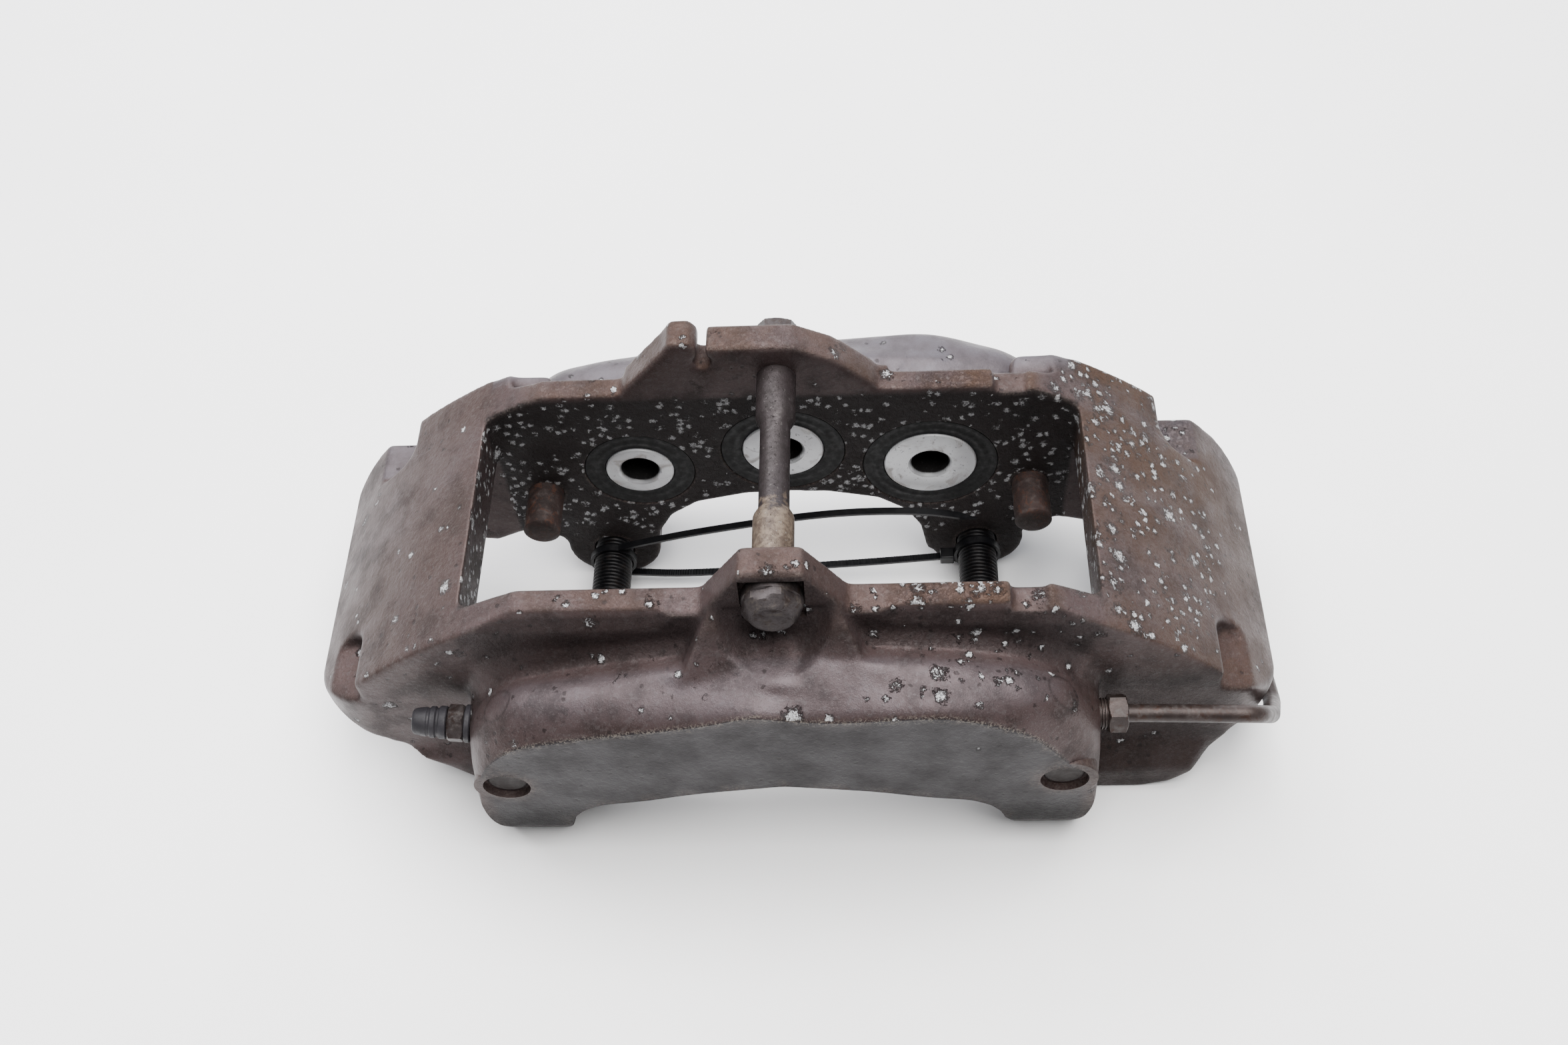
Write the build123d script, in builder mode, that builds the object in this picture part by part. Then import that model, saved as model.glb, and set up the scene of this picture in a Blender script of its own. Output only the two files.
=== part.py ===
from build123d import *
from math import cos, radians, sin
import os

os.makedirs("parts", exist_ok=True)

# Six-piston monobloc front brake caliper, millimetres.
# Origin: on the floor plane under the middle of the pad window.
# X runs along the caliper, Y runs across the disc (outboard half at -Y), Z is up.

# ---------------------------------------------------------------- disc and arch
DISC_Z = -78.0          # height of the disc axis, which lies along Y at x = 0
ARCH_IN = 180.0         # inner radius of the end bridges, clear of a 350 mm disc
ARCH_OUT = 198.0        # outer radius of the end bridges
END_L, END_R = 52.0, 54.7   # degrees from vertical where the bridges end
RIM_Z = 104.0           # flat top of the window rims
WALL = 37.0             # half the gap between the two piston walls
CHEEK_Y = 48.0          # outer faces of the two cheeks
FLANGE_Y = {-1: 54.5, 1: 57.5}  # outer face of the inboard flange, left and right
FLANGE_IN = 186.0       # its inner radius
FACE_Y = 75.0           # outermost face of each piston housing
WINDOW = (196.0, 74.0, 4.0)     # pad window: length, width, corner radius
CORNER_R = {-1: 22.0, 1: 14.0}  # plan rounding of the outboard and inboard shoulder corners
STEP_X, STEP_Y, STEP_Z = 127.7, 37.0, 60.0  # flat steps at the two inboard corners
# corner pockets: x of the middle, then floor height at the inner wall and at the outer edge
POCKETS = {-142.5: (56.3, 53.0), 143.5: (55.2, 51.9)}

# ---------------------------------------------------------------- pistons
# x of bore, z of bore, piston diameter
PISTONS = [(-50.25, 63.5, 30.0), (0.0, 72.8, 34.0), (50.25, 63.5, 38.0)]
PISTON_L = 23.5
FIT = 0.05              # radial running clearance of the hydraulic parts
BORE_END = 66.0         # |y| of the bore bottoms
NOSE_STEP = 3.2         # the piston nose is this much smaller in radius
NOSE_L = 5.0
SEAL_Y, SEAL_W, SEAL_DEEP = 45.0, 3.0, 2.6
BOOT_WIDE, BOOT_DEEP = 4.2, 5.0

# ---------------------------------------------------------------- bolts and pins
TIE_Z = 112.0           # height of the central tie bolt
SLEEVE_R, SLEEVE_WAIST_R = 6.4, 4.8
PIN_X, PIN_Z, PIN_R, PIN_L = 85.0, 52.0, 6.5, 17.5
EARS, EAR_Z, EAR_R = (-65.6, 67.9), 17.0, 17.0
EAR_BACK = 60.0         # |y| of the spot faces under the mounting bolt heads
BOLT_R, BOLT_PITCH, BOLT_TIP = 7.0, 1.5, 14.0
PLUG_X, PLUG_Z, PLUG_R = 87.5, 47.5, 6.5
PORT_X = 99.0
PORTS = {-1: (57.0, 56.5), 1: (59.5, 53.5)}     # |y| and z of the end ports of each half
BLEED_TILT = 8.0
INLET_R = 4.5
PIPE_R = 2.85


def at_y(y):
    """Sketch plane facing -Y at this y; local x is X and local y is Z."""
    return Plane.XZ.offset(-y)


def polar(radius, degrees):
    """Point (x, z) on a circle round the disc axis, degrees from vertical."""
    return (radius * sin(radians(degrees)), DISC_Z + radius * cos(radians(degrees)))


def slab(points, y0, y1, mode=Mode.ADD):
    """Prism between two y planes from a closed list of (x, z) corners."""
    with BuildSketch(at_y(max(y0, y1))) as outline:
        with BuildLine():
            Polyline(*points, close=True)
        make_face()
    extrude(outline.sketch, amount=abs(y1 - y0), mode=mode)


def disc(x, z, radius, y0, y1, mode=Mode.ADD):
    """Round bar or hole along Y between two y planes."""
    with BuildSketch(at_y(max(y0, y1))) as circle:
        with Locations((x, z)):
            Circle(radius)
    extrude(circle.sketch, amount=abs(y1 - y0), mode=mode)


def drill(start, end, radius):
    """Straight round hole from one point to another."""
    way = Vector(*end) - Vector(*start)
    with BuildSketch(Plane(origin=start, z_dir=way)) as circle:
        Circle(radius)
    extrude(circle.sketch, amount=way.length, mode=Mode.SUBTRACT)


def spun(points, x, z, y0, side, mode=Mode.ADD):
    """Solid of revolution round a Y axis; points are (radius, depth from y0)."""
    frame = Plane(origin=(x, side * y0, z), x_dir=(1, 0, 0), z_dir=(0, 0, side))
    with BuildSketch(frame) as half_section:
        with BuildLine():
            Polyline(*points, close=True)
        make_face()
    revolve(half_section.sketch, axis=Axis((x, 0, z), (0, 1, 0)), mode=mode)


# ---------------------------------------------------------------- cheek outlines
ARCH_NEAR = [(73, 0), (72, 14), (67, 27), (59, 33), (45, 35.5), (25, 41.5), (0, 45.5)]
ARCH_FAR = [(50, 12), (47.5, 26), (42, 36.5), (32, 44), (14, 48.5), (0, 49)]


def top_arc(sign, end, step=4):
    """Outer arch surface from the flat rim down to one end, as short chords."""
    return [(sign * polar(ARCH_OUT, a)[0], polar(ARCH_OUT, a)[1])
            for a in [24 + (end - 24) * i / step / 4 for i in range(step * 4 + 1)]]


def cheek(side):
    """Closed outline of one cheek: -1 is the outboard half, +1 the inboard half."""
    left, right = top_arc(-1, END_L), top_arc(1, END_R)
    in_l, in_r = polar(ARCH_IN, -END_L), polar(ARCH_IN, END_R)
    if side < 0:
        low_r = [in_r, (142, 16), (133, 5), (121, 0)]
        low_l = [(-100, 0), (-110, 6), (-119, 16), (-131, 27), in_l]
        arch = ARCH_NEAR
    else:
        low_r = [in_r, (130, 25), (113, 25), (96, 30), (86, 25), (80, 8)]
        low_l = [(-78, 8), (-84, 24), (-96, 29), (-108, 23), (-128, 27), in_l]
        arch = [(56, 8)] + ARCH_FAR
    mirror = [(-x, z) for x, z in reversed(arch[:-1])]
    flat = [(-79, RIM_Z), (79, RIM_Z)]
    return flat + right + low_r + arch + mirror + low_l + left[::-1]


# Housing sections: |y|, then z of the top at the x stations, then foot bottom z.
STATIONS = [-99, -86, -68, -50, -26, 0, 26, 52, 70, 87, 99]
SECTIONS = [
    (46.0, [69, 82, 88, 91, 95, 100, 98, 95, 91, 84, 69], 0.0),
    (52.0, [62, 76, 81, 84.5, 89, 95, 92, 89, 86, 78, 62], 0.0),
    (60.0, [60, 76, 84, 88, 92, 96, 95, 93, 88, 76, 60], 0.0),
    (68.0, [52, 71, 79, 84, 88, 92, 91, 90, 84, 69, 52], 7.0),
    (FACE_Y, [34, 61, 72, 78, 82, 88, 85, 86, 78, 58, 32], 27.0),
]


def housing(side):
    """Piston housing bulge: a ruled skin through four upright sections."""
    rings = []
    for y, tops, foot in SECTIONS:
        crown = list(zip(STATIONS, tops))
        foot = foot if side < 0 else 30.0
        low = [(x, max(z, foot + 2.0)) for x, z in ARCH_NEAR[1:]]
        under = [(97, foot), (73, foot)] + low
        under += [(-x, z) for x, z in reversed(under[:-1])]
        rings.append(Wire.make_polygon([(x, side * y, z) for x, z in crown + under]))
    return Solid.make_loft(rings, ruled=True)


# Apron outlines (x, z) at the cheek face and at the apron face, keyed by y.
APRONS = [
    {-47.5: [(97, 24), (126, 27), (140, 22), (141, 15), (132, 4.6), (121, 0), (97, 0)],
     -55.0: [(97, 11), (122, 13.5), (133, 13), (134.5, 10), (128, 3), (119, 0), (97, 0)]},
    {-47.5: [(-97, 24), (-121, 28), (-129, 25), (-118, 15.5), (-109, 5.5), (-99.5, 0), (-97, 0)],
     -51.5: [(-97, 13), (-119, 20), (-124, 22), (-116, 15), (-108, 6), (-99, 0), (-97, 0)]},
]


def buttress(side):
    """Wedge that carries the end of the tie bolt down into the housing."""
    rings = []
    for y, half, top in ((45, 17, 112), (54, 23, 101), (64, 29, 90)):
        corners = [(-half, top), (half, top), (half + 7, 76), (-half - 7, 76)]
        rings.append(Wire.make_polygon([(x, side * y, z) for x, z in corners]))
    return Solid.make_loft(rings, ruled=True)


with BuildPart() as caliper_body:
    # end bridges: an arch segment over the disc, cut radially at both ends
    slab([(-79, RIM_Z), (79, RIM_Z)] + top_arc(1, END_R) + [polar(ARCH_IN - 2, END_R)]
         + [polar(ARCH_IN - 2, -END_L)] + top_arc(-1, END_L)[::-1], -WALL - 1, WALL + 1)
    disc(0, DISC_Z, ARCH_IN, -WALL - 1, WALL + 1, Mode.SUBTRACT)
    slab(cheek(-1), -CHEEK_Y, -WALL)
    slab(cheek(1), WALL, CHEEK_Y)
    for sign, end in ((-1, END_L), (1, END_R)):
        steps = [24 + (end - 24) * i / 16 for i in range(17)]
        outer = [(sign * polar(ARCH_OUT, a)[0], polar(ARCH_OUT, a)[1]) for a in steps]
        inner = [(sign * polar(FLANGE_IN, a)[0], polar(FLANGE_IN, a)[1]) for a in steps]
        slab(outer + inner[::-1], CHEEK_Y - 1, FLANGE_Y[sign])

    # plan rounding of the shoulder corners, cut straight down
    ends = (polar(ARCH_OUT, -END_L)[0], polar(ARCH_OUT, END_R)[0])
    for sx, x_end in zip((-1, 1), ends):
        for sy, y_end in ((-1, -CHEEK_Y), (1, FLANGE_Y[sx])):
            r = CORNER_R[sy]
            with BuildSketch(Plane.XY.offset(-20)):
                with Locations((x_end - sx * r / 2 + sx, y_end - sy * r / 2 + sy)):
                    Rectangle(r + 2, r + 2)
                with Locations((x_end - sx * r, y_end - sy * r)):
                    Circle(r, mode=Mode.SUBTRACT)
            extrude(amount=160, mode=Mode.SUBTRACT)

    # piston housings on both cheeks
    for side in (-1, 1):
        add(housing(side))

    # aprons: the outboard cheek is thicker along its lower edge at both ends
    for outline in APRONS:
        rings = [Wire.make_polygon([(x, y, z) for x, z in outline[y]]) for y in outline]
        add(Solid.make_loft(rings, ruled=True))

    # humps that carry the tie bolt, and the buttress under its head
    slab([(-26, 98), (-21, 106), (-9, 124.4), (9, 124.4), (21, 106), (26, 98)],
         -CHEEK_Y, -WALL)
    slab([(-56, 98), (-50, 107), (-36, 124), (-33.5, 128), (-27, 128.5), (-25, 125.5),
          (5, 125.5), (18.5, 119), (30, 108), (38, 98)], WALL, CHEEK_Y)
    for side in (-1, 1):
        add(buttress(side))
    spun([(0, 0), (12.5, 0), (16, 4), (17.5, 9), (16.5, 15), (12, 20), (0, 23)],
         0, TIE_Z, 46.5, -1, Mode.SUBTRACT)

    # mounting ears of the inboard half
    for x in EARS:
        disc(x, EAR_Z, EAR_R, WALL, EAR_BACK)
        slab([(x - 12, 22), (x + 12, 22), (x + 10, 60), (x - 10, 60)], WALL, EAR_BACK + 6)
    with Locations((0, 0, -20)):
        Box(400, 300, 40, mode=Mode.SUBTRACT)

    # disc slot, pad window, relief of the rim faces
    disc(0, DISC_Z, ARCH_IN, -WALL, WALL, Mode.SUBTRACT)
    with BuildSketch(Plane.XY.offset(-1)):
        RectangleRounded(*WINDOW)
    extrude(amount=140, mode=Mode.SUBTRACT)
    for side in (-1, 1):
        with BuildSketch(Plane.YZ.offset(-90)):
            with BuildLine():
                Polyline((side * 45.5, RIM_Z + 1), (side * 45.5, RIM_Z - 2),
                         (side * 48.5, RIM_Z - 9), (side * 60, RIM_Z - 6),
                         (side * 60, RIM_Z + 1), close=True)
            make_face()
        extrude(amount=56, mode=Mode.SUBTRACT)
        with BuildSketch(Plane.YZ.offset(36)):
            with BuildLine():
                Polyline((side * 45.5, RIM_Z + 1), (side * 45.5, RIM_Z - 2),
                         (side * 48.5, RIM_Z - 9), (side * 60, RIM_Z - 6),
                         (side * 60, RIM_Z + 1), close=True)
            make_face()
        extrude(amount=54, mode=Mode.SUBTRACT)
        # pad sensor notch through each rim
        slab([(70.5, RIM_Z - 3.8), (80.8, RIM_Z - 3.8), (81.6, RIM_Z + 1), (69.7, RIM_Z + 1)],
             side * (WALL - 1), side * 54, Mode.SUBTRACT)

    # keyhole slot beside the far hump
    disc(-23.2, 119.0, 2.75, WALL - 1, CHEEK_Y + 2, Mode.SUBTRACT)
    slab([(-24.55, 119), (-21.85, 119), (-21.85, 132), (-24.55, 132)],
         WALL - 1, CHEEK_Y + 2, Mode.SUBTRACT)

    # corner pockets in the shoulders and the steps at the far corners
    for x, (z_in, z_out) in POCKETS.items():
        with BuildPart(mode=Mode.PRIVATE) as pocket:
            with BuildSketch(Plane.XY):
                with Locations((x, -31)):
                    Circle(5.75)
                with Locations((x, -45)):
                    Rectangle(11.5, 28)
            extrude(amount=140)
            near, far = (x - 6, x + 6) if x > 0 else (x + 6, x - 6)
            slab([(near, z_in), (far, z_out), (far, -1), (near, -1)], -70, 0, Mode.SUBTRACT)
        add(pocket.part, mode=Mode.SUBTRACT)
    for sign in (-1, 1):
        with BuildSketch(Plane.XY.offset(STEP_Z)):
            with Locations((sign * (STEP_X + 30), STEP_Y + 30)):
                RectangleRounded(60, 60, 8)
        extrude(amount=80, mode=Mode.SUBTRACT)

    # piston bores with seal grooves and boot counterbores
    for side in (-1, 1):
        for x, z, diameter in PISTONS:
            r = diameter / 2 + FIT
            disc(x, z, r, side * (WALL - 1), side * BORE_END, Mode.SUBTRACT)
            disc(x, z, r - FIT + SEAL_DEEP, side * SEAL_Y, side * (SEAL_Y + SEAL_W), Mode.SUBTRACT)
            disc(x, z, r - FIT + BOOT_WIDE, side * (WALL - 1), side * (WALL + BOOT_DEEP),
                 Mode.SUBTRACT)
        drill((-48, side * 63.4, 63.5), (46, side * 63.4, 63.5), 1.8)
        port_y, port_z = PORTS[side]
        drill((-90, side * port_y, port_z), (-54, side * 63.2, 62.0), 1.8)
        drill((90, side * port_y, port_z), (56, side * 63.2, 60.0), 1.8)

    # bleed screw and pipe ports on the housing ends
    bleed_way = (cos(radians(BLEED_TILT)), 0, -sin(radians(BLEED_TILT)))
    for side, (port_y, port_z) in PORTS.items():
        mouth = (-PORT_X - 3, side * port_y, port_z + 0.42)
        drill(mouth, tuple(m + 15.5 * w for m, w in zip(mouth, bleed_way)), 5.05)
        drill((PORT_X + 3, side * port_y, port_z), (PORT_X - 10, side * port_y, port_z), 5.05)

    # tie bolt hole and head pocket
    disc(0, TIE_Z, 4.3, -60, 60, Mode.SUBTRACT)
    slab([(-9.6, 101.4), (9.6, 101.4), (9.6, 121.6), (-9.6, 121.6)], -80, -45.5, Mode.SUBTRACT)
    disc(0, TIE_Z, 10.2, 48, 80, Mode.SUBTRACT)

    # abutment pin holes, plug holes and the threaded inlet
    for side in (-1, 1):
        for x in (-PIN_X, PIN_X):
            disc(x, PIN_Z, PIN_R, side * (WALL - 1), side * (WALL + 9), Mode.SUBTRACT)
    for x, side in ((-PLUG_X, -1), (PLUG_X, -1), (-PLUG_X, 1)):
        disc(x, PLUG_Z, PLUG_R, side * 65, side * 80, Mode.SUBTRACT)
        disc(x, PLUG_Z, PLUG_R + 1, side * 72.5, side * 80, Mode.SUBTRACT)
    disc(PLUG_X, PLUG_Z, 8.0, 72.0, 80, Mode.SUBTRACT)
    disc(PLUG_X, PLUG_Z, INLET_R, 58, 80, Mode.SUBTRACT)
    drill((PLUG_X, 60, PLUG_Z), (60, 63.2, 56), 1.8)

    # mounting bolt holes
    for x in EARS:
        disc(x, EAR_Z, BOLT_R + 0.5, WALL - 1, EAR_BACK + 8, Mode.SUBTRACT)
        disc(x, EAR_Z, 15.0, EAR_BACK, EAR_BACK + 30, Mode.SUBTRACT)


# ---------------------------------------------------------------- hydraulic parts
def make_piston(x, z, diameter, side):
    """Hollow piston with a stepped nose and a groove for the boot lip."""
    r, nose = diameter / 2, diameter / 2 - NOSE_STEP
    with BuildPart() as piston:
        spun([(6.75, 0.8), (7.55, 0), (nose - 0.6, 0), (nose, 0.6), (nose, 2.2),
              (nose - 0.9, 2.2), (nose - 0.9, 3.6), (nose, 3.6), (nose, NOSE_L),
              (r - 0.5, NOSE_L), (r, NOSE_L + 0.5), (r, PISTON_L - 1), (r - 1, PISTON_L),
              (0, PISTON_L), (0, 18), (6.75, 18)], x, z, WALL, side)
    return piston


def make_seal(x, z, diameter, side):
    """Square-section fluid seal lying in its groove."""
    r = diameter / 2
    with BuildPart() as seal:
        spun([(r + FIT, 0.1), (r + SEAL_DEEP - 0.05, 0.1),
              (r + SEAL_DEEP - 0.05, SEAL_W - 0.1), (r + FIT, SEAL_W - 0.1)], x, z, SEAL_Y, side)
    return seal


def make_boot(x, z, diameter, side):
    """Dust boot: press ring in the wall, thin web, lip in the piston groove."""
    r, nose, out = diameter / 2, diameter / 2 - NOSE_STEP, diameter / 2 + BOOT_WIDE - 0.04
    with BuildPart() as boot:
        spun([(out, 0.4), (out, 4.8), (r + 1.2, 4.8), (r + 1.2, 2.0), (r - 0.2, 1.6),
              (nose + 1.4, 1.9), (nose + 1.2, 3.4), (nose - 0.8, 3.4), (nose - 0.8, 2.4),
              (nose + 0.15, 2.2), (nose + 0.15, 0.9), (r - 0.6, 0.5), (r + 1.6, 0.6)],
             x, z, WALL, side)
    return boot


pieces = {"caliper_body": caliper_body}
for side, half in ((-1, "out"), (1, "in")):
    for x, z, diameter in PISTONS:
        size = f"{int(diameter)}_{half}"
        pieces["piston_" + size] = make_piston(x, z, diameter, side)
        pieces["seal_" + size] = make_seal(x, z, diameter, side)
        pieces["boot_" + size] = make_boot(x, z, diameter, side)

# ---------------------------------------------------------------- tie bolt group
with BuildPart() as tie_bolt:
    disc(0, TIE_Z, 4.0, -47, 58.5)
    disc(0, TIE_Z, 9.0, -47.0, -45.5)
    with BuildSketch(at_y(-46.9)):
        with Locations((0, TIE_Z)):
            RegularPolygon(8.5, 6, major_radius=False)
    extrude(amount=7.6)
    with BuildPart(mode=Mode.PRIVATE) as head_cone:
        spun([(0, 0), (9.4, 0), (9.4, -5.4), (6.4, -7.7), (0, -7.7)], 0, TIE_Z, -46.9, 1)
        disc(0, TIE_Z, 9.4, -46.9, 70)
    add(head_cone.part, mode=Mode.INTERSECT)
pieces["tie_bolt"] = tie_bolt

with BuildPart() as tie_nut:
    disc(0, TIE_Z, 9.0, 48.02, 49.5)
    with BuildSketch(at_y(56.0)):
        with Locations((0, TIE_Z)):
            RegularPolygon(7.5, 6, major_radius=False)
    extrude(amount=6.6)
    disc(0, TIE_Z, 4.05, 40, 60, Mode.SUBTRACT)
pieces["tie_nut"] = tie_nut

with BuildPart() as spacer_sleeve:
    spun([(4.15, -36.95), (6.4, -36.95), (SLEEVE_R, -36.4), (SLEEVE_R, -18.5),
          (SLEEVE_WAIST_R, -16), (SLEEVE_WAIST_R, 16), (SLEEVE_R, 18.5), (SLEEVE_R, 36.4),
          (6.4, 36.95), (4.15, 36.95)], 0, TIE_Z, 0, 1)
pieces["spacer_sleeve"] = spacer_sleeve


# ---------------------------------------------------------------- bleed screws
def bleed_plane(side):
    """Plane at the housing end whose normal is the way the screw comes out."""
    out = (-cos(radians(BLEED_TILT)), 0, sin(radians(BLEED_TILT)))
    port_y, port_z = PORTS[side]
    return Plane(origin=(-PORT_X, side * port_y, port_z), x_dir=(0, 1, 0), z_dir=out)


def make_bleeder(side):
    """Bleed screw: coned seat, threaded shank, hexagon and hose nipple."""
    with BuildPart() as screw:
        with BuildSketch(bleed_plane(side)):
            Circle(4.95)
        extrude(amount=-9)
        with BuildSketch(bleed_plane(side)):
            Circle(4.2)
        extrude(amount=2.6)
        with BuildSketch(bleed_plane(side).offset(2.2)):
            RegularPolygon(5.6, 6, major_radius=False)
        extrude(amount=5.2)
        with BuildSketch(bleed_plane(side).offset(7.4)):
            Circle(3.2)
        extrude(amount=4.0)
        with BuildSketch(bleed_plane(side).offset(11.4)):
            Circle(2.6)
        extrude(amount=2.0)
        with BuildSketch(bleed_plane(side).offset(13.4)):
            Circle(3.3)
        extrude(amount=2.4, taper=20)
        with BuildSketch(bleed_plane(side).offset(16)):
            Circle(1.1)
        extrude(amount=-24, mode=Mode.SUBTRACT)
    return screw


def make_cap(side):
    """Ribbed rubber dust cap, hollow, over the nipple."""
    with BuildPart() as cap:
        for start, length, radius in ((7.6, 2.6, 5.3), (10.2, 1.2, 4.7), (11.4, 2.2, 5.0)):
            with BuildSketch(bleed_plane(side).offset(start)):
                Circle(radius)
            extrude(amount=length)
        with BuildSketch(bleed_plane(side).offset(13.6)):
            Circle(4.9)
        extrude(amount=5.0, taper=12)
        with BuildSketch(bleed_plane(side).offset(7.6)):
            Circle(3.65)
        extrude(amount=8.8, mode=Mode.SUBTRACT)
    return cap


for side, half in ((-1, "out"), (1, "in")):
    pieces["bleed_screw_" + half] = make_bleeder(side)
    pieces["bleed_cap_" + half] = make_cap(side)

# ---------------------------------------------------------------- crossover pipe
(near_y, near_z), (far_y, far_z) = PORTS[-1], PORTS[1]
with BuildPart() as crossover_pipe:
    with BuildLine() as run:
        FilletPolyline((90.5, -near_y, near_z), (112, -near_y, near_z), (148.5, -near_y, 54.5),
                       (156, -50, 41), (161, -37.5, 26.5), (161.5, -18, 20), (161.5, 38, 19),
                       (159, 61.5, 24), (140, 62, 36), (116, far_y, far_z),
                       (90.5, far_y, far_z), radius=7)
    with BuildSketch(Plane(origin=(90.5, -near_y, near_z), z_dir=(1, 0, 0))):
        Circle(PIPE_R)
    sweep()
pieces["crossover_pipe"] = crossover_pipe

for side, half in ((-1, "out"), (1, "in")):
    port_y, port_z = PORTS[side]
    with BuildPart() as tube_nut:
        with BuildSketch(Plane.YZ.offset(92)):
            with Locations((side * port_y, port_z)):
                Circle(4.95)
        extrude(amount=9.5)
        with BuildSketch(Plane.YZ.offset(101)):
            with Locations((side * port_y, port_z)):
                RegularPolygon(5.5, 6, major_radius=False)
        extrude(amount=6.5)
        with BuildSketch(Plane.YZ.offset(90)):
            with Locations((side * port_y, port_z)):
                Circle(PIPE_R + 0.12)
        extrude(amount=20, mode=Mode.SUBTRACT)
    pieces["tube_nut_" + half] = tube_nut

# ---------------------------------------------------------------- pins and plugs
for side, half in ((-1, "out"), (1, "in")):
    with BuildPart() as pins:
        for x in (-PIN_X, PIN_X):
            spun([(0, -PIN_L), (5.6, -PIN_L), (PIN_R - 0.02, -PIN_L + 1), (PIN_R - 0.02, 8.8),
                  (0, 8.8)], x, PIN_Z, WALL, side)
    pieces["abutment_pins_" + half] = pins

with BuildPart() as bore_plugs:
    for x, side in ((-PLUG_X, -1), (PLUG_X, -1), (-PLUG_X, 1)):
        spun([(0, 0.2), (PLUG_R - 0.02, 0.2), (PLUG_R - 0.02, 7.2), (PLUG_R - 0.6, 7.8),
              (0, 7.8)], x, PLUG_Z, 65, side)
pieces["bore_plugs"] = bore_plugs


# ---------------------------------------------------------------- mounting bolts
def make_bolt(x):
    """Flanged hexagon bolt, thread towards the disc."""
    y0 = EAR_BACK
    ridges = []
    y = 40.0
    while y - BOLT_PITCH > BOLT_TIP + 1.5:
        ridges += [(BOLT_R, y0 - y + 0.2), (BOLT_R, y0 - y + 0.45),
                   (BOLT_R - 0.85, y0 - y + 0.85), (BOLT_R - 0.85, y0 - y + 1.3)]
        y -= BOLT_PITCH
    shank = [(0, 0), (BOLT_R - 0.05, 0), (BOLT_R - 0.05, y0 - 41)]
    tip = [(BOLT_R - 0.85, y0 - BOLT_TIP - 1), (BOLT_R - 1.6, y0 - BOLT_TIP),
           (0, y0 - BOLT_TIP)]
    with BuildPart() as bolt:
        spun([(r, -d) for r, d in shank + ridges + tip], x, EAR_Z, y0, 1)
        spun([(0, -0.5), (6, 0.02), (13.6, 0.02), (14, 0.6), (14, 1.6), (10, 3.6), (0, 3.6)],
             x, EAR_Z, y0, 1)
        with BuildSketch(at_y(y0 + 12.5)):
            with Locations((x, EAR_Z)):
                RegularPolygon(9.0, 6, major_radius=False)
        extrude(amount=11)
    return bolt


for x, name in zip(EARS, ("left", "right")):
    pieces["mounting_bolt_" + name] = make_bolt(x)

# ---------------------------------------------------------------- cable tie
STRAP_Y, STRAP_W, STRAP_T = 31.5, 2.6, 1.1
UPPER = [(-62.5, 24.8), (-52, 28.4), (-32, 34), (2, 41.3), (26, 43.9), (49, 43), (67, 38.3)]
LOWER = [(-62.5, 9.2), (-35, 7.6), (20, 11.4), (58, 15.2)]
with BuildPart() as cable_tie:
    for x in EARS:
        disc(x, EAR_Z, BOLT_R + 0.35 + STRAP_T, STRAP_Y - STRAP_W / 2, STRAP_Y + STRAP_W / 2)
    for path in (UPPER, LOWER):
        with BuildSketch(at_y(STRAP_Y + STRAP_W / 2)):
            with BuildLine():
                above = Spline(*[(x, z + STRAP_T / 2) for x, z in path])
                below = Spline(*[(x, z - STRAP_T / 2) for x, z in path])
                Line(above @ 0, below @ 0)
                Line(above @ 1, below @ 1)
            make_face()
        extrude(amount=STRAP_W)
    with Locations((EARS[1] - BOLT_R - 3.9, STRAP_Y, 15.2)):
        Box(5.2, 4.6, 4.4)
    for x in EARS:
        disc(x, EAR_Z, BOLT_R + 0.35, STRAP_Y - 5, STRAP_Y + 5, Mode.SUBTRACT)
pieces["cable_tie"] = cable_tie

for name, piece in pieces.items():
    piece.part.label = name
    export_step(piece.part, f"parts/{name}.step")
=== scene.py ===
import bmesh
import bpy
import math
import numpy as np
from mathutils import Matrix, Vector


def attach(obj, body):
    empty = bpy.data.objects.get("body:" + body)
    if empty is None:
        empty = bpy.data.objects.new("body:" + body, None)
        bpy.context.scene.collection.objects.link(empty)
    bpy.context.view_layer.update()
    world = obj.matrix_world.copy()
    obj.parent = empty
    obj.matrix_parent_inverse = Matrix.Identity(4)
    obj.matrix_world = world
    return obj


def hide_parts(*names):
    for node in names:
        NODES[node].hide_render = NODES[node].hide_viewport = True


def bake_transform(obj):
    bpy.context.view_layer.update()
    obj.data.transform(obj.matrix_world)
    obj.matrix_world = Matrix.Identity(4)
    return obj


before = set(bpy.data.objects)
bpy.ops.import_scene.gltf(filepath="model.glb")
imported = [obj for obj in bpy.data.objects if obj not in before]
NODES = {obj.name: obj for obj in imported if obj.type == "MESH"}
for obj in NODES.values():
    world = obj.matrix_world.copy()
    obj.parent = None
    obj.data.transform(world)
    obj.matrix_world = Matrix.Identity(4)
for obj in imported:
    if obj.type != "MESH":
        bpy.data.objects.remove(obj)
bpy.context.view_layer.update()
MM = 0.001

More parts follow.
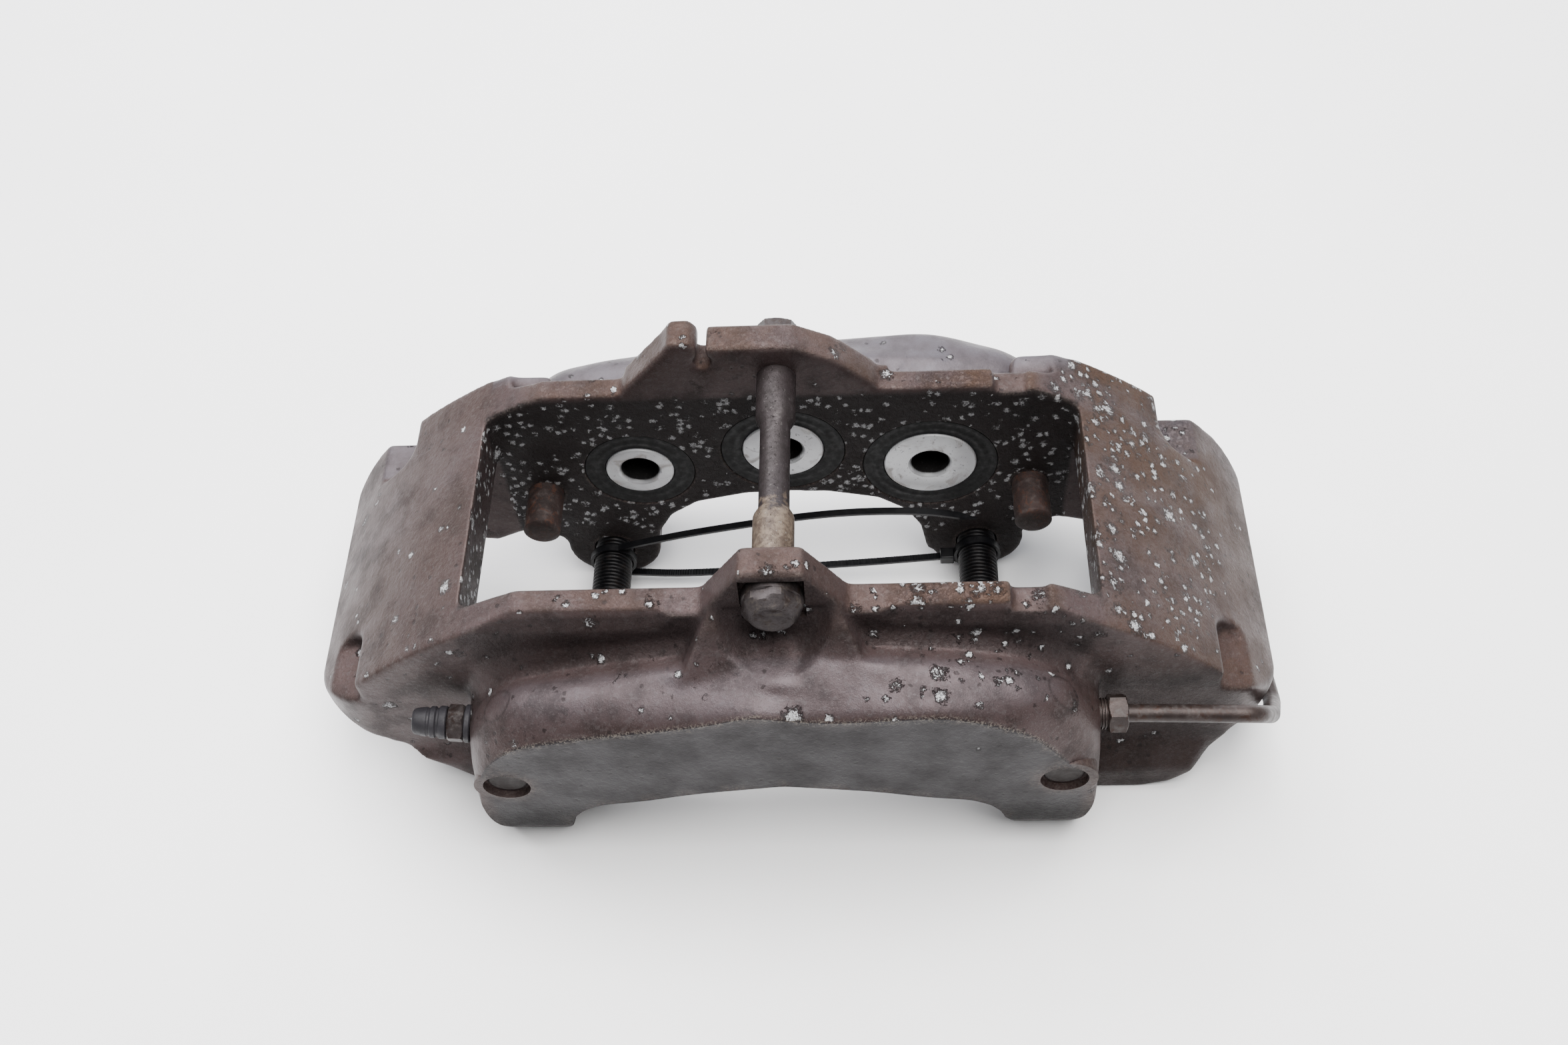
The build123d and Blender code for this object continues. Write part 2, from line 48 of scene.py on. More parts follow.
# ------------------------------------------------------------------ dimensions, mm
# X runs along the caliper, Y from the outboard (-1) to the inboard half (1), Z up
HALF = {-1: "out", 1: "in"}
WALL, FRONT, END = 37.0, 75.0, 99.0       # |y| of window walls and flat fronts, |x| of ends
PISTONS = [(-50.25, 63.5, 30.0), (0.0, 72.8, 34.0), (50.25, 63.5, 38.0)]    # x, z, diameter
PORTS = {-1: (57.0, 56.5), 1: (59.5, 53.5)}                 # |y|, z of pipe and bleed ports
BLEED_AXIS = np.array((-math.cos(math.radians(8)), 0, math.sin(math.radians(8))))
PIN_X, PIN_Z, DRILL_R = 85.0, 52.0, 2.6
TIE_Z, EARS, EAR_Z = 112.0, (-65.6, 67.9), 17.0
PLUG_Z, PLUGS, INLET = 47.5, [(-87.5, -1), (87.5, -1), (-87.5, 1)], (87.5, 1)     # x, half


# ------------------------------------------------------------------ mesh helpers
def mesh_object(name, verts, faces, smooth=30.0):
    """Mesh from points in millimetres; edges sharper than smooth degrees stay crisp."""
    me = bpy.data.meshes.new(name)
    me.from_pydata([tuple(v) for v in (np.asarray(verts, float) * MM)], [], faces)
    me.update()
    ob = bpy.data.objects.new(name, me)
    bpy.context.scene.collection.objects.link(ob)
    crisp(ob, smooth)
    return ob


def crisp(ob, degrees):
    """Smooth shading with the edges above this angle kept sharp."""
    me = ob.data
    me.polygons.foreach_set("use_smooth", [True] * len(me.polygons))
    me.set_sharp_from_angle(angle=math.radians(degrees))


def axes_for(direction):
    """Two unit vectors square to a direction."""
    d = Vector(direction).normalized()
    side = Vector((0, 0, 1)) if abs(d.z) < 0.9 else Vector((1, 0, 0))
    u = side.cross(d).normalized()
    return np.array(u), np.array(d.cross(u)), np.array(d)


def lathe(name, profile, origin, direction, seg=72, smooth=30.0, wobble=0.0):
    """Closed profile of (radius, distance along) pairs turned about an axis."""
    u, v, d = axes_for(direction)
    o = np.array(origin, float)
    verts, rows, faces = [], [], []
    for r, h in profile:
        if r < 1e-6:
            rows.append([len(verts)])
            verts.append(o + d * h)
            continue
        rows.append(range(len(verts), len(verts) + seg))
        for k in range(seg):
            a = 2 * math.pi * k / seg
            rr = r * (1 + wobble * math.sin(3 * a + h))
            verts.append(o + d * h + (u * math.cos(a) + v * math.sin(a)) * rr)
    for a, b in zip(rows, rows[1:] + rows[:1]):
        for k in range(seg):
            k2 = (k + 1) % seg
            if len(a) > 1 and len(b) > 1:
                faces.append((a[k], a[k2], b[k2], b[k]))
            elif len(a) > 1:
                faces.append((a[k], a[k2], b[0]))
            elif len(b) > 1:
                faces.append((a[0], b[k2], b[k]))
    return outward(mesh_object(name, verts, faces, smooth))


def outward(ob, weld=0.0):
    """Normals point out of the solid; points closer than weld are merged before that."""
    bm = bmesh.new()
    bm.from_mesh(ob.data)
    if weld:
        bmesh.ops.remove_doubles(bm, verts=bm.verts, dist=weld)
    bmesh.ops.recalc_face_normals(bm, faces=bm.faces)
    bm.to_mesh(ob.data)
    bm.free()
    return ob


def loft(name, verts, seg, smooth=30.0):
    """Solid through successive rings of seg points, with a flat face at both ends."""
    rows = len(verts) // seg
    faces = [(i + k, i + (k + 1) % seg, i + seg + (k + 1) % seg, i + seg + k)
             for i in range(0, (rows - 1) * seg, seg) for k in range(seg)]
    faces += [tuple(range(seg))[::-1], tuple(range((rows - 1) * seg, rows * seg))]
    return outward(mesh_object(name, verts, faces, smooth))


def hexagon(name, flats, h0, h1, origin, direction, turn=0.0, both=False, face_r=None,
            drop=None, corner=None):
    """Hexagonal prism whose corners are turned off to a round chamfer or cone."""
    u, v, d = axes_for(direction)
    o = np.array(origin, float)
    seg, apothem = 96, flats / 2
    corner = corner or apothem / math.cos(math.pi / 6)
    face_r = face_r or apothem * 0.93
    drop = drop or (corner - face_r) * 0.55
    levels = [(h0, face_r if both else corner)]
    if both:
        levels += [(h0 + drop * t, face_r + (corner - face_r) * t) for t in (0.33, 0.66, 1)]
    levels += [(h1 - drop * (1 - t), corner - (corner - face_r) * t)
               for t in (0, 0.33, 0.66, 1)]
    verts = []
    for h, cap in levels:
        for k in range(seg):
            a = 2 * math.pi * k / seg
            r = min(apothem / math.cos(a % (math.pi / 3) - math.pi / 6), cap)
            verts.append(o + d * h + (u * math.cos(a + turn) + v * math.sin(a + turn)) * r)
    return loft(name, verts, seg, 24)


def sweep_tube(name, path, radius, seg):
    """Round tube along a dense path in millimetres."""
    along = np.gradient(path, axis=0)
    along /= np.linalg.norm(along, axis=1)[:, None]
    n = np.cross(along[0], [0, 0, 1.0])
    verts = []
    for q, t in zip(path, along):
        n = n - t * np.dot(n, t)
        n /= np.linalg.norm(n)
        b = np.cross(t, n)
        for k in range(seg):
            a = 2 * math.pi * k / seg
            verts.append(q + (n * math.cos(a) + b * math.sin(a)) * radius)
    return loft(name, verts, seg, 40)


def rounded_path(corners, radius, step=1.5):
    """Polyline whose corners are replaced by arcs, sampled densely."""
    c = [np.array(q, float) for q in corners]
    out = [c[0]]
    for i in range(1, len(c) - 1):
        a, b = c[i - 1] - c[i], c[i + 1] - c[i]
        la, lb = np.linalg.norm(a), np.linalg.norm(b)
        a, b = a / la, b / lb
        ang = math.acos(float(np.clip(np.dot(a, b), -1, 1)))
        cut = min(radius / math.tan(ang / 2), la * 0.48, lb * 0.48)
        p, q = c[i] + a * cut, c[i] + b * cut
        for t in np.linspace(0, 1, 9):
            out.append((1 - t) ** 2 * p + 2 * t * (1 - t) * c[i] + t * t * q)
    out.append(c[-1])
    dense = [out[0]]
    for a, b in zip(out, out[1:]):
        n = max(1, int(np.linalg.norm(b - a) / step))
        dense += [a + (b - a) * k / n for k in range(1, n + 1)]
    return np.array(dense)


def join(name, parts):
    """Several meshes as one object; each keeps its own faces and materials."""
    bpy.ops.object.select_all(action="DESELECT")
    for p in parts:
        p.select_set(True)
    bpy.context.view_layer.objects.active = parts[0]
    bpy.ops.object.join()
    parts[0].name = name
    parts[0].data.name = name
    return parts[0]


def apply_modifiers(ob):
    """Modifiers become part of the mesh."""
    dg = bpy.context.evaluated_depsgraph_get()
    me = bpy.data.meshes.new_from_object(ob.evaluated_get(dg), depsgraph=dg)
    ob.modifiers.clear()
    ob.data = me


def cut(ob, cutters, how="DIFFERENCE"):
    """Subtracts or adds the tools and deletes them."""
    tool = join("cutters", cutters) if len(cutters) > 1 else cutters[0]
    m = ob.modifiers.new("cut", "BOOLEAN")
    m.operation, m.object, m.solver = how, tool, "MANIFOLD"
    apply_modifiers(ob)
    bpy.data.objects.remove(tool, do_unlink=True)


def bar(x, z, r, y0, y1, seg=64):
    """Round bar along Y, used as filler and as cutter."""
    return lathe("bar", [(0, y0), (r, y0), (r, y1), (0, y1)], (x, 0, z), (0, 1, 0), seg)


def rod(start, end, r):
    """Round bar between two points."""
    start, end = np.array(start, float), np.array(end, float)
    length = float(np.linalg.norm(end - start))
    return lathe("rod", [(0, 0), (r, 0), (r, length), (0, length)], start, end - start, 48)


def prism(outline, y0, y1):
    """Straight prism along Y with the outline (x, z)."""
    return loft("prism", [(x, y, z) for y in (y0, y1) for x, z in outline], len(outline))


def box_mesh(lo, hi):
    """Axis-aligned block."""
    (x0, y0, z0), (x1, y1, z1) = lo, hi
    return prism([(x0, z0), (x1, z0), (x1, z1), (x0, z1)], y0, y1)


def points(me, what="co"):
    """Positions in metres, or normals, of all points of a mesh."""
    flat = np.empty(len(me.vertices) * 3)
    me.vertices.foreach_get(what, flat)
    return flat.reshape(-1, 3)


def neighbour_mean(me):
    """Function that averages a value over the neighbours of every point."""
    n = len(me.vertices)
    ed = np.empty(len(me.edges) * 2, int)
    me.edges.foreach_get("vertices", ed)
    a, b = ed.reshape(-1, 2).T
    deg = np.bincount(a, minlength=n) + np.bincount(b, minlength=n)
    return lambda v: (np.bincount(a, v[b], n) + np.bincount(b, v[a], n)) / deg


def relax(ob, rounds, weight=None):
    """Laplacian smoothing with an optional weight for every point."""
    me = ob.data
    co, mean = points(me), neighbour_mean(me)
    w = 0.5 * (np.ones(len(co)) if weight is None else weight(co / MM))
    for _ in range(rounds):
        co += (np.stack([mean(co[:, k]) for k in range(3)], 1) - co) * w[:, None]
    me.vertices.foreach_set("co", co.ravel())
    me.update()


def step01(x, lo, hi):
    """Smooth 0 to 1 ramp."""
    t = np.clip((x - lo) / (hi - lo), 0, 1)
    return t * t * (3 - 2 * t)


# ------------------------------------------------------------------ the casting
# Piston housing: height of the skin at stations along x and across |y|.
HX = [-99, -95, -84, -68, -50, -33, -20, -8, 3, 17, 32, 53, 65, 78, 87, 95, 99]
HY = [44.0, 49.0, 53.0, 58.0, 64.0, 70.0, 75.0, 78.0]
HZ = [
    [76, 83, 92, 95, 96, 97, 99, 101, 101, 99, 96, 96, 97, 94, 91, 81, 76],
    [67, 74, 83, 86, 87.5, 89.5, 92, 95, 95, 92, 89.5, 89.5, 89.5, 86, 81, 73, 67],
    [61, 67, 77, 80.5, 83.5, 86, 89, 93, 93, 89.5, 87, 87, 86, 82, 76.5, 66.5, 61],
    [61, 67, 78.5, 84, 87, 88.5, 90.5, 93, 93, 91.5, 90.5, 90.5, 89, 85.5, 79, 67, 61],
    [58, 66, 79, 85, 88, 89, 90.5, 93, 92, 91, 91.5, 91.5, 90, 86, 79, 66, 58],
    [52, 61, 75, 82.5, 85.5, 87.5, 89.5, 92, 91, 90, 90.5, 90.5, 87.5, 82.5, 73, 59, 51],
    [42, 54, 70, 76.5, 80.5, 83.5, 86.5, 90.5, 88.5, 86.5, 87.5, 87.5, 82.5, 73, 59, 46, 40],
    [30, 44, 62, 70, 74, 77, 80, 85, 83, 81, 82, 81, 75, 64, 50, 35, 28],
]
ARCH_X = [0, 25, 45, 59, 65, 69, 71.5, 73.5, 75]
ARCH_Z = [45, 41, 36.5, 34.5, 31, 25, 16, 4, 0]
FAR_X, FAR_Z = [0, 20, 35, 45, 60, 99], [56, 53, 47, 40, 34, 32]


def smooth_rows(xs, rows, x):
    """Catmull-Rom interpolation of table rows at positions x."""
    xs = np.array(xs, float)
    out = []
    for row in rows:
        row = np.array(row, float)
        m = np.gradient(row, xs)
        i = np.clip(np.searchsorted(xs, x) - 1, 0, len(xs) - 2)
        h = xs[i + 1] - xs[i]
        t = (x - xs[i]) / h
        out.append((2 * t**3 - 3 * t**2 + 1) * row[i] + (t**3 - 2 * t**2 + t) * h * m[i]
                   + (-2 * t**3 + 3 * t**2) * row[i + 1] + (t**3 - t**2) * h * m[i + 1])
    return np.array(out)


def housing_mesh(side):
    """Smooth piston housing skin of one half."""
    xs = np.unique(np.concatenate([np.linspace(-END, END, 90), np.linspace(-76, -66, 14),
                                   np.linspace(66, 76, 14), [-98.6, 98.6, -97.6, 97.6]]))
    tops = smooth_rows(HX, HZ, xs)
    yy = np.linspace(HY[0], HY[-1], 26)
    low_x, low_z = (FAR_X, FAR_Z) if side > 0 else (ARCH_X, ARCH_Z)
    verts = []
    for i, x in enumerate(xs):
        crown = smooth_rows(HY, [tops[:, i]], yy)[0]
        low = float(np.interp(abs(x), low_x, low_z))
        tuck = 5.0 * max(0.0, (abs(x) - 95.0) / 4.0) ** 2
        face = HY[-1] - tuck
        col = [(y - tuck * (y - HY[0]) / 34.0, z) for y, z in zip(yy, crown)]
        col += [(face - 1.2 * max(0, t - 0.6), crown[-1] + (max(low, 27.0) - crown[-1]) * t)
                for t in np.linspace(0.12, 1, 8)]
        foot = ((3.2, 18.0), (7.0, 9.0), (9.5, 3.4), (13.0, 0.0)) if low < 26 else \
            ((3.5, low), (8.0, low), (11.0, low), (13.0, low))
        col += [(face - inset, max(z, low)) for inset, z in foot] + [(HY[0], low)]
        verts += [(x, side * y, z) for y, z in col]
    return loft("housing", verts, len(col))


def bores_and_holes(fill):
    """Every machined hole, as fillers inside the skin or as full cutters."""
    out = []
    reach, grow = (0.0, 0.6) if fill else (6.0, 0.0)
    for s in (-1, 1):
        def across(x, z, r, a, b):
            out.append(bar(x, z, r + grow, *sorted((s * a, s * b)), 128))
        for x, z, dia in PISTONS:
            r = dia / 2
            if fill:
                across(x, z, r + 4.2, WALL, 66.8)
            else:
                profile = [(0, WALL - 4), (r + 4.6, WALL - 4), (r + 4.6, WALL - 0.01),
                           (r + 4.25, WALL + 0.35), (r + 4.2, WALL + 5),
                           (r + 0.05, WALL + 5), (r + 0.05, 66), (0, 66)]
                out.append(lathe("bore", profile, (x, 0, z), (0, s, 0), 128))
        across(0, TIE_Z, 4.3, WALL - reach, 48 + reach)
        for x in (-PIN_X, PIN_X):
            across(x, PIN_Z, 6.5, WALL - reach, WALL + 9)
        py, pz = s * PORTS[s][0], PORTS[s][1]
        port = np.array((-END, py, pz))
        out.append(rod((END + reach * 0.5, py, pz), (89, py, pz), 5.05 + grow))
        out.append(rod(port + BLEED_AXIS * reach * 0.5, port - BLEED_AXIS * 12.4, 5.05 + grow))
        if fill:
            out.append(rod((-48, s * 63.4, 63.5), (46, s * 63.4, 63.5), DRILL_R))
            out.append(rod((-90, py, pz), (-54, s * 63.2, 62.0), DRILL_R))
            out.append(rod((90, py, pz), (56, s * 63.2, 60.0), DRILL_R))
    for x in EARS:
        out.append(bar(x, EAR_Z, 7.5 + grow, WALL - reach, 60.5))
        if not fill:
            out.append(bar(x, EAR_Z, 15.0, 60.0, 96.0))
    for x, s in PLUGS + [INLET]:
        inlet = (x, s) == INLET
        if fill:
            out.append(bar(x, PLUG_Z, 8.4, *sorted((s * (57.0 if inlet else 64.5), s * 73.4))))
            continue
        profile = [(0, 58), (4.5, 58), (4.5, 71.2), (5.3, 72), (8, 72), (8, 84), (0, 84)] \
            if inlet else [(0, 65), (6.5, 65), (6.5, 72.4), (7.5, 72.6), (7.6, 84), (0, 84)]
        out.append(lathe("port", profile, (x, 0, PLUG_Z), (0, s, 0), 64))
    if fill:
        out.append(rod((INLET[0], 60, PLUG_Z), (60, 63.2, 56), DRILL_R))
    return out


def rim_taper(sx, sy):
    """Cutter that runs the rim relief out into the hump instead of ending in a step."""
    verts = []
    start = 37.0 if sy < 0 else 44.0
    section = ((45.5, 106), (45.5, 102), (48.5, 95), (60, 98), (60, 106))
    for dx, out in ((2.0, -0.15), (0.0, 0.1), (-4.0, 1.3), (-8.0, 3.6), (-11.0, 7.0)):
        verts += [(sx * (start + dx), sy * (y + out), z + max(0.0, out) * 0.5)
                  for y, z in section]
    return loft("taper", verts, len(section))


def buttress_mesh():
    """Two ridges that run from the outboard hump down over the housing, hollow between them."""
    us = np.linspace(-1.35, 1.35, 55)
    verts = []
    for v in np.linspace(0, 1, 26):
        y, half = -(45.0 + 20.0 * v), 17.5 + 10.5 * v
        ridge = 111.0 - 21.5 * v ** 0.85
        bowl = 15.0 * math.exp(-((v - 0.42) / 0.36) ** 2)
        for u in us:
            inside, fall = max(0.0, 1 - u * u), max(0.0, abs(u) - 1.0)
            z = ridge - bowl * inside ** 0.8 - 60 * fall ** 1.3
            verts.append((u * half, y, max(z, 74.0)))
        verts += [(u * half, y, 72.0) for u in us[::-1]]
    return loft("buttress", verts, 2 * len(us))


def grid_fronts(ob, pitch=3.0):
    """Divides the two flat front faces, so that their staining can vary from place to place."""
    bm = bmesh.new()
    bm.from_mesh(ob.data)
    flat = [f for f in bm.faces if abs(f.normal.y) > 0.999
            and abs(abs(f.verts[0].co.y) - FRONT * MM) < 0.03 * MM]
    geom = set(flat)
    for f in flat:
        geom.update(f.edges)
        geom.update(f.verts)
    geom = list(geom)
    for normal, lo, hi in (((1, 0, 0), -END, END), ((0, 0, 1), 0, 96)):
        for at in np.arange(lo, hi, pitch):
            cutline = bmesh.ops.bisect_plane(bm, geom=geom, dist=1e-7, plane_no=normal,
                                             plane_co=tuple(at * MM * c for c in normal))
            geom = [g for g in cutline["geom"] if g.is_valid]
    bm.to_mesh(ob.data)
    bm.free()


def make_body():
    """The casting: rounded cast skin first, then the machined holes."""
    src = NODES["caliper_body"]
    me = src.data.copy()
    me.transform(src.matrix_world)
    blank = bpy.data.objects.new("cast_body", me)
    bpy.context.scene.collection.objects.link(blank)
    me.materials.clear()
    outward(blank, 0.002 * MM)
    brow = prism([(-15, 108), (15, 108), (8, 123.6), (-8, 123.6)], -48.1, -45.0)
    scoop = lathe("scoop", [(0, 46.4), (14, 46.4), (18, 49), (20, 55), (20, 61), (14, 68),
                            (0, 70)], (0, 0, TIE_Z), (0, -1, 0), 96)
    cut(scoop, [box_mesh((-30, -80, TIE_Z - 3), (30, -40, TIE_Z + 30))])
    cut(blank, [scoop] + [rim_taper(sx, sy) for sx in (-1, 1) for sy in (-1, 1)])
    blank = join("cast_body", [blank, brow] + bores_and_holes(True)
                 + [housing_mesh(-1), housing_mesh(1), buttress_mesh()])
    m = blank.modifiers.new("skin", "REMESH")
    m.mode, m.voxel_size = "VOXEL", 0.8 * MM
    apply_modifiers(blank)

    def soft(p):
        """Cast outside is rounder than the two inner walls; the front crease stays crisp."""
        x, y, z = p.T
        inner = (np.abs(y) < WALL + 1.5) & (np.abs(x) < END - 0.5) & (z < 103)
        return np.where(inner, 0.5, 1.0)

    def bulge(p):
        """Housings are the roundest part, apart from the two ridges under the tie bolt."""
        x, y, z = p.T
        zone = step01(np.abs(y), 49, 53) * step01(99.5 - np.abs(x), 0, 6)
        rib = 1 - 0.93 * (y < 0) * step01(36 - np.abs(x), 0, 6) * step01(67 + y, 0, 5)
        return zone * rib * step01(z, 22, 40)

    relax(blank, 7, soft)
    relax(blank, 28, bulge)
    relax(blank, 2)
    cut(blank, [box_mesh((-120, FRONT, -9), (120, 96, 140)),
                box_mesh((-120, -96, -9), (120, -FRONT, 140))])
    bosses = [bar(x, PLUG_Z, 10.4, *sorted((s * 58.0, s * 74.95)), 96) for x, s in PLUGS]
    cut(blank, bosses, "UNION")
    cut(blank, bores_and_holes(False) + [box_mesh((-9.6, -80, 101.4), (9.6, -45.5, 121.6))])
    grid_fronts(blank)
    crisp(blank, 31)
    return blank


# ------------------------------------------------------------------ materials
class Graph:
    """A small builder for procedural materials in object coordinates."""

    def __init__(self, name):
        self.mat = bpy.data.materials.new(name)
        self.mat.use_nodes = True
        self.nt = self.mat.node_tree
        self.bsdf = self.nt.nodes["Principled BSDF"]
        self.pos = self.nt.nodes.new("ShaderNodeTexCoord").outputs["Object"]
        self.base = None

    def node(self, kind, **sockets):
        n = self.nt.nodes.new(kind)
        for k, v in sockets.items():
            self.feed(n, k.replace("_", " "), v)
        return n

    def feed(self, n, key, v):
        s = n.inputs[int(key)] if key.isdigit() else n.inputs[key]
        if isinstance(v, bpy.types.NodeSocket):
            self.nt.links.new(v, s)
        elif isinstance(v, (tuple, list)) and s.type == "RGBA":
            s.default_value = (*v[:3], 1.0)
        else:
            s.default_value = v

    def put(self, key, v):
        self.feed(self.bsdf, key, v)

    def coat(self, mask, colour):
        """A further colour over the base wherever the mask lets it through."""
        self.base = self.blend(mask, self.base, colour)

    def paint(self, level=0.20):
        """Base colour at the level that suits the strong studio light."""
        self.put("Base Color", self.blend(1.0, self.base, (level,) * 3, "MULTIPLY"))

    def noise(self, scale, detail=4.0, rough=0.55, warp=0.0, out="Fac"):
        n = self.node("ShaderNodeTexNoise", Vector=self.pos, Scale=scale, Detail=detail,
                      Roughness=rough, Distortion=warp)
        return n.outputs[out]

    def cells(self, scale, pos):
        """Voronoi cells: distance to the centre and two random values of each cell."""
        n = self.node("ShaderNodeTexVoronoi", Vector=pos, Scale=scale)
        rgb = self.node("ShaderNodeSeparateColor", Color=n.outputs["Color"])
        return n.outputs["Distance"], rgb.outputs[0], rgb.outputs[1]

    def math(self, op, a, b=0.0, c=0.0, clamp=False):
        n = self.nt.nodes.new("ShaderNodeMath")
        n.operation, n.use_clamp = op, clamp
        for key, v in (("0", a), ("1", b), ("2", c)):
            self.feed(n, key, v)
        return n.outputs[0]

    def mul(self, a, b):
        return self.math("MULTIPLY", a, b)

    def add(self, a, b, clamp=False):
        return self.math("ADD", a, b, clamp=clamp)

    def span(self, v, lo, hi, a=0.0, b=1.0):
        """Smooth ramp from a to b while v goes from lo to hi."""
        n = self.nt.nodes.new("ShaderNodeMapRange")
        n.interpolation_type = "SMOOTHSTEP"
        for key, val in (("Value", v), ("From Min", lo), ("From Max", hi), ("To Min", a),
                         ("To Max", b)):
            self.feed(n, key, val)
        return n.outputs[0]

    def blend(self, f, a, b, mode="MIX"):
        n = self.nt.nodes.new("ShaderNodeMix")
        n.data_type, n.blend_type = "RGBA", mode
        self.feed(n, "0", f)
        for i, v in ((6, a), (7, b)):
            if isinstance(v, bpy.types.NodeSocket):
                self.nt.links.new(v, n.inputs[i])
            else:
                n.inputs[i].default_value = (*v[:3], 1.0)
        return n.outputs[2]

    def warped(self, scale, amount):
        """Object position pushed about by noise, for ragged outlines."""
        c = self.noise(scale, 3.0, 0.6, out="Color")
        n = self.nt.nodes.new("ShaderNodeVectorMath")
        n.operation = "MULTIPLY_ADD"
        self.nt.links.new(c, n.inputs[0])
        n.inputs[1].default_value = (amount,) * 3
        self.nt.links.new(self.pos, n.inputs[2])
        return n.outputs[0]

    def attr(self, name):
        n = self.nt.nodes.new("ShaderNodeAttribute")
        n.attribute_name = name
        return n.outputs["Fac"]

    def axis(self, k):
        return self.node("ShaderNodeSeparateXYZ", Vector=self.pos).outputs[k]

    def bump(self, height, depth):
        n = self.nt.nodes.new("ShaderNodeBump")
        n.inputs["Distance"].default_value = depth
        n.inputs["Strength"].default_value = 1.0
        self.nt.links.new(height, n.inputs["Height"])
        return n.outputs[0]


def cast_material():
    """Oxidised, lacquered cast aluminium with pale corrosion pits and rust staining."""
    g = Graph("cast_housing")
    pit, tan, shade_and_grime, band = g.attr("pit"), g.attr("tan"), g.attr("shade_and_grime"), g.attr("band")
    ragged = g.warped(420, 0.0022)
    broad = g.noise(14, 5, 0.6)
    mid = g.noise(70, 6, 0.62)
    fine = g.noise(620, 5, 0.6)
    grain = g.noise(2300, 3, 0.6)

    g.base = g.blend(g.span(broad, 0.36, 0.66), (0.225, 0.158, 0.158), (0.150, 0.090, 0.082))
    g.coat(g.span(mid, 0.45, 0.66, 0, 0.75), (0.080, 0.056, 0.054))
    stain = g.span(g.noise(150, 7, 0.74, 0.5), 0.55, 0.63, 0, 0.55)
    g.coat(g.mul(stain, g.span(g.noise(22, 3), 0.42, 0.60)), (0.050, 0.035, 0.033))
    g.coat(g.span(fine, 0.50, 0.66, 0, 0.50), (0.260, 0.215, 0.215))
    g.coat(g.span(grain, 0.56, 0.70, 0, 0.35), (0.40, 0.36, 0.36))
    g.coat(g.span(grain, 0.44, 0.30, 0, 0.40), (0.045, 0.032, 0.030))
    tan_mask = g.mul(tan, g.span(g.noise(30, 6, 0.65), 0.34, 0.60))
    g.coat(tan_mask, (0.205, 0.118, 0.078))
    rust = g.mul(tan, g.span(g.noise(190, 6, 0.7, 0.6), 0.56, 0.70))
    g.coat(g.mul(rust, 0.6), (0.105, 0.050, 0.032))
    g.coat(band, g.blend(g.span(mid, 0.35, 0.7), (0.075, 0.072, 0.082), (0.050, 0.045, 0.050)))
    g.coat(g.mul(band, g.span(fine, 0.56, 0.7, 0, 0.4)), (0.12, 0.11, 0.12))
    # painted sheen: a pale bluish colour on the up-facing bulge tops stands in for the reflection
    # of the back light
    painted_sheen = g.mul(g.attr("painted_sheen"), g.span(mid, 0.30, 0.62, 1.0, 0.55))
    g.coat(g.mul(painted_sheen, 0.75), (0.36, 0.345, 0.40))
    # painted shade, with some grime: near-black where shade falls, on the window walls,
    # undersides, feet, creases and shaded flanks
    g.coat(g.mul(shade_and_grime, g.span(mid, 0.15, 0.75, 1.0, 0.72)), (0.017, 0.014, 0.0145))

    # small dark oil specks everywhere, denser in random patches
    away, chance, _ = g.cells(300, g.warped(900, 0.0016))
    keep = g.math("LESS_THAN", chance, g.span(g.noise(24, 3), 0.40, 0.66, 0.02, 0.34))
    speck = g.mul(g.span(away, 0.30, 0.16), keep)
    g.coat(g.mul(speck, 0.62), (0.035, 0.026, 0.026))

    # pale corrosion blooms in two sizes, ragged and gathered in patches
    flaky = g.noise(1050, 8, 0.80, 0.5)

    def blooms(scale, size, patch, push):
        """Field above zero inside the blooms and falling to -1 away from them."""
        away, chance, extra = g.cells(scale, ragged)
        amount = g.mul(pit, g.span(g.noise(patch, 4, 0.6), 0.36, 0.60, 0.16, push))
        on = g.math("LESS_THAN", chance, amount)
        field = g.math("SUBTRACT", g.math("MULTIPLY_ADD", extra, size, size * 0.5), away)
        field = g.math("MULTIPLY_ADD", field, 3.2, g.span(flaky, 0.34, 0.66, -0.75, 0.6))
        return g.math("MULTIPLY_ADD", g.add(field, 1.0), on, -1.0)

    spread = g.math("MAXIMUM", blooms(165, 0.26, 36, 0.62), blooms(360, 0.32, 60, 0.72))
    pale = g.span(spread, 0.02, 0.22)
    halo = g.span(spread, -0.62, -0.05)
    chalk = g.blend(g.span(grain, 0.35, 0.62), (0.55, 0.53, 0.54), (1.6, 1.62, 1.66))
    g.coat(g.mul(halo, 0.62),
           g.blend(g.span(fine, 0.4, 0.6), (0.055, 0.042, 0.040), (0.20, 0.17, 0.17)))
    g.coat(g.mul(pale, g.span(shade_and_grime, 0, 1, 1.0, 0.85)), chalk)
    worn = g.mul(g.attr("worn"), g.span(flaky, 0.42, 0.60))
    g.coat(g.mul(worn, 0.5), (0.36, 0.29, 0.26))
    dust = g.mul(g.attr("dust"), g.span(g.noise(1500, 5, 0.75), 0.50, 0.58))
    g.coat(g.mul(dust, 0.60), (0.80, 0.70, 0.60))
    g.coat(g.mul(g.attr("ring"), 0.5), (0.03, 0.024, 0.024))
    g.paint()

    rough = g.span(mid, 0.3, 0.7, 0.34, 0.52)
    rough = g.add(rough, g.mul(tan_mask, 0.16))
    rough = g.add(rough, g.mul(pale, 0.25))
    rough = g.add(rough, g.mul(shade_and_grime, 0.12), clamp=True)
    g.put("Roughness", rough)
    g.put("Metallic", g.mul(g.span(pale, 0.2, 0.8, 0.34, 0.0), g.span(shade_and_grime, 0, 1, 1.0, 0.3)))
    g.put("Specular IOR Level", 0.10)

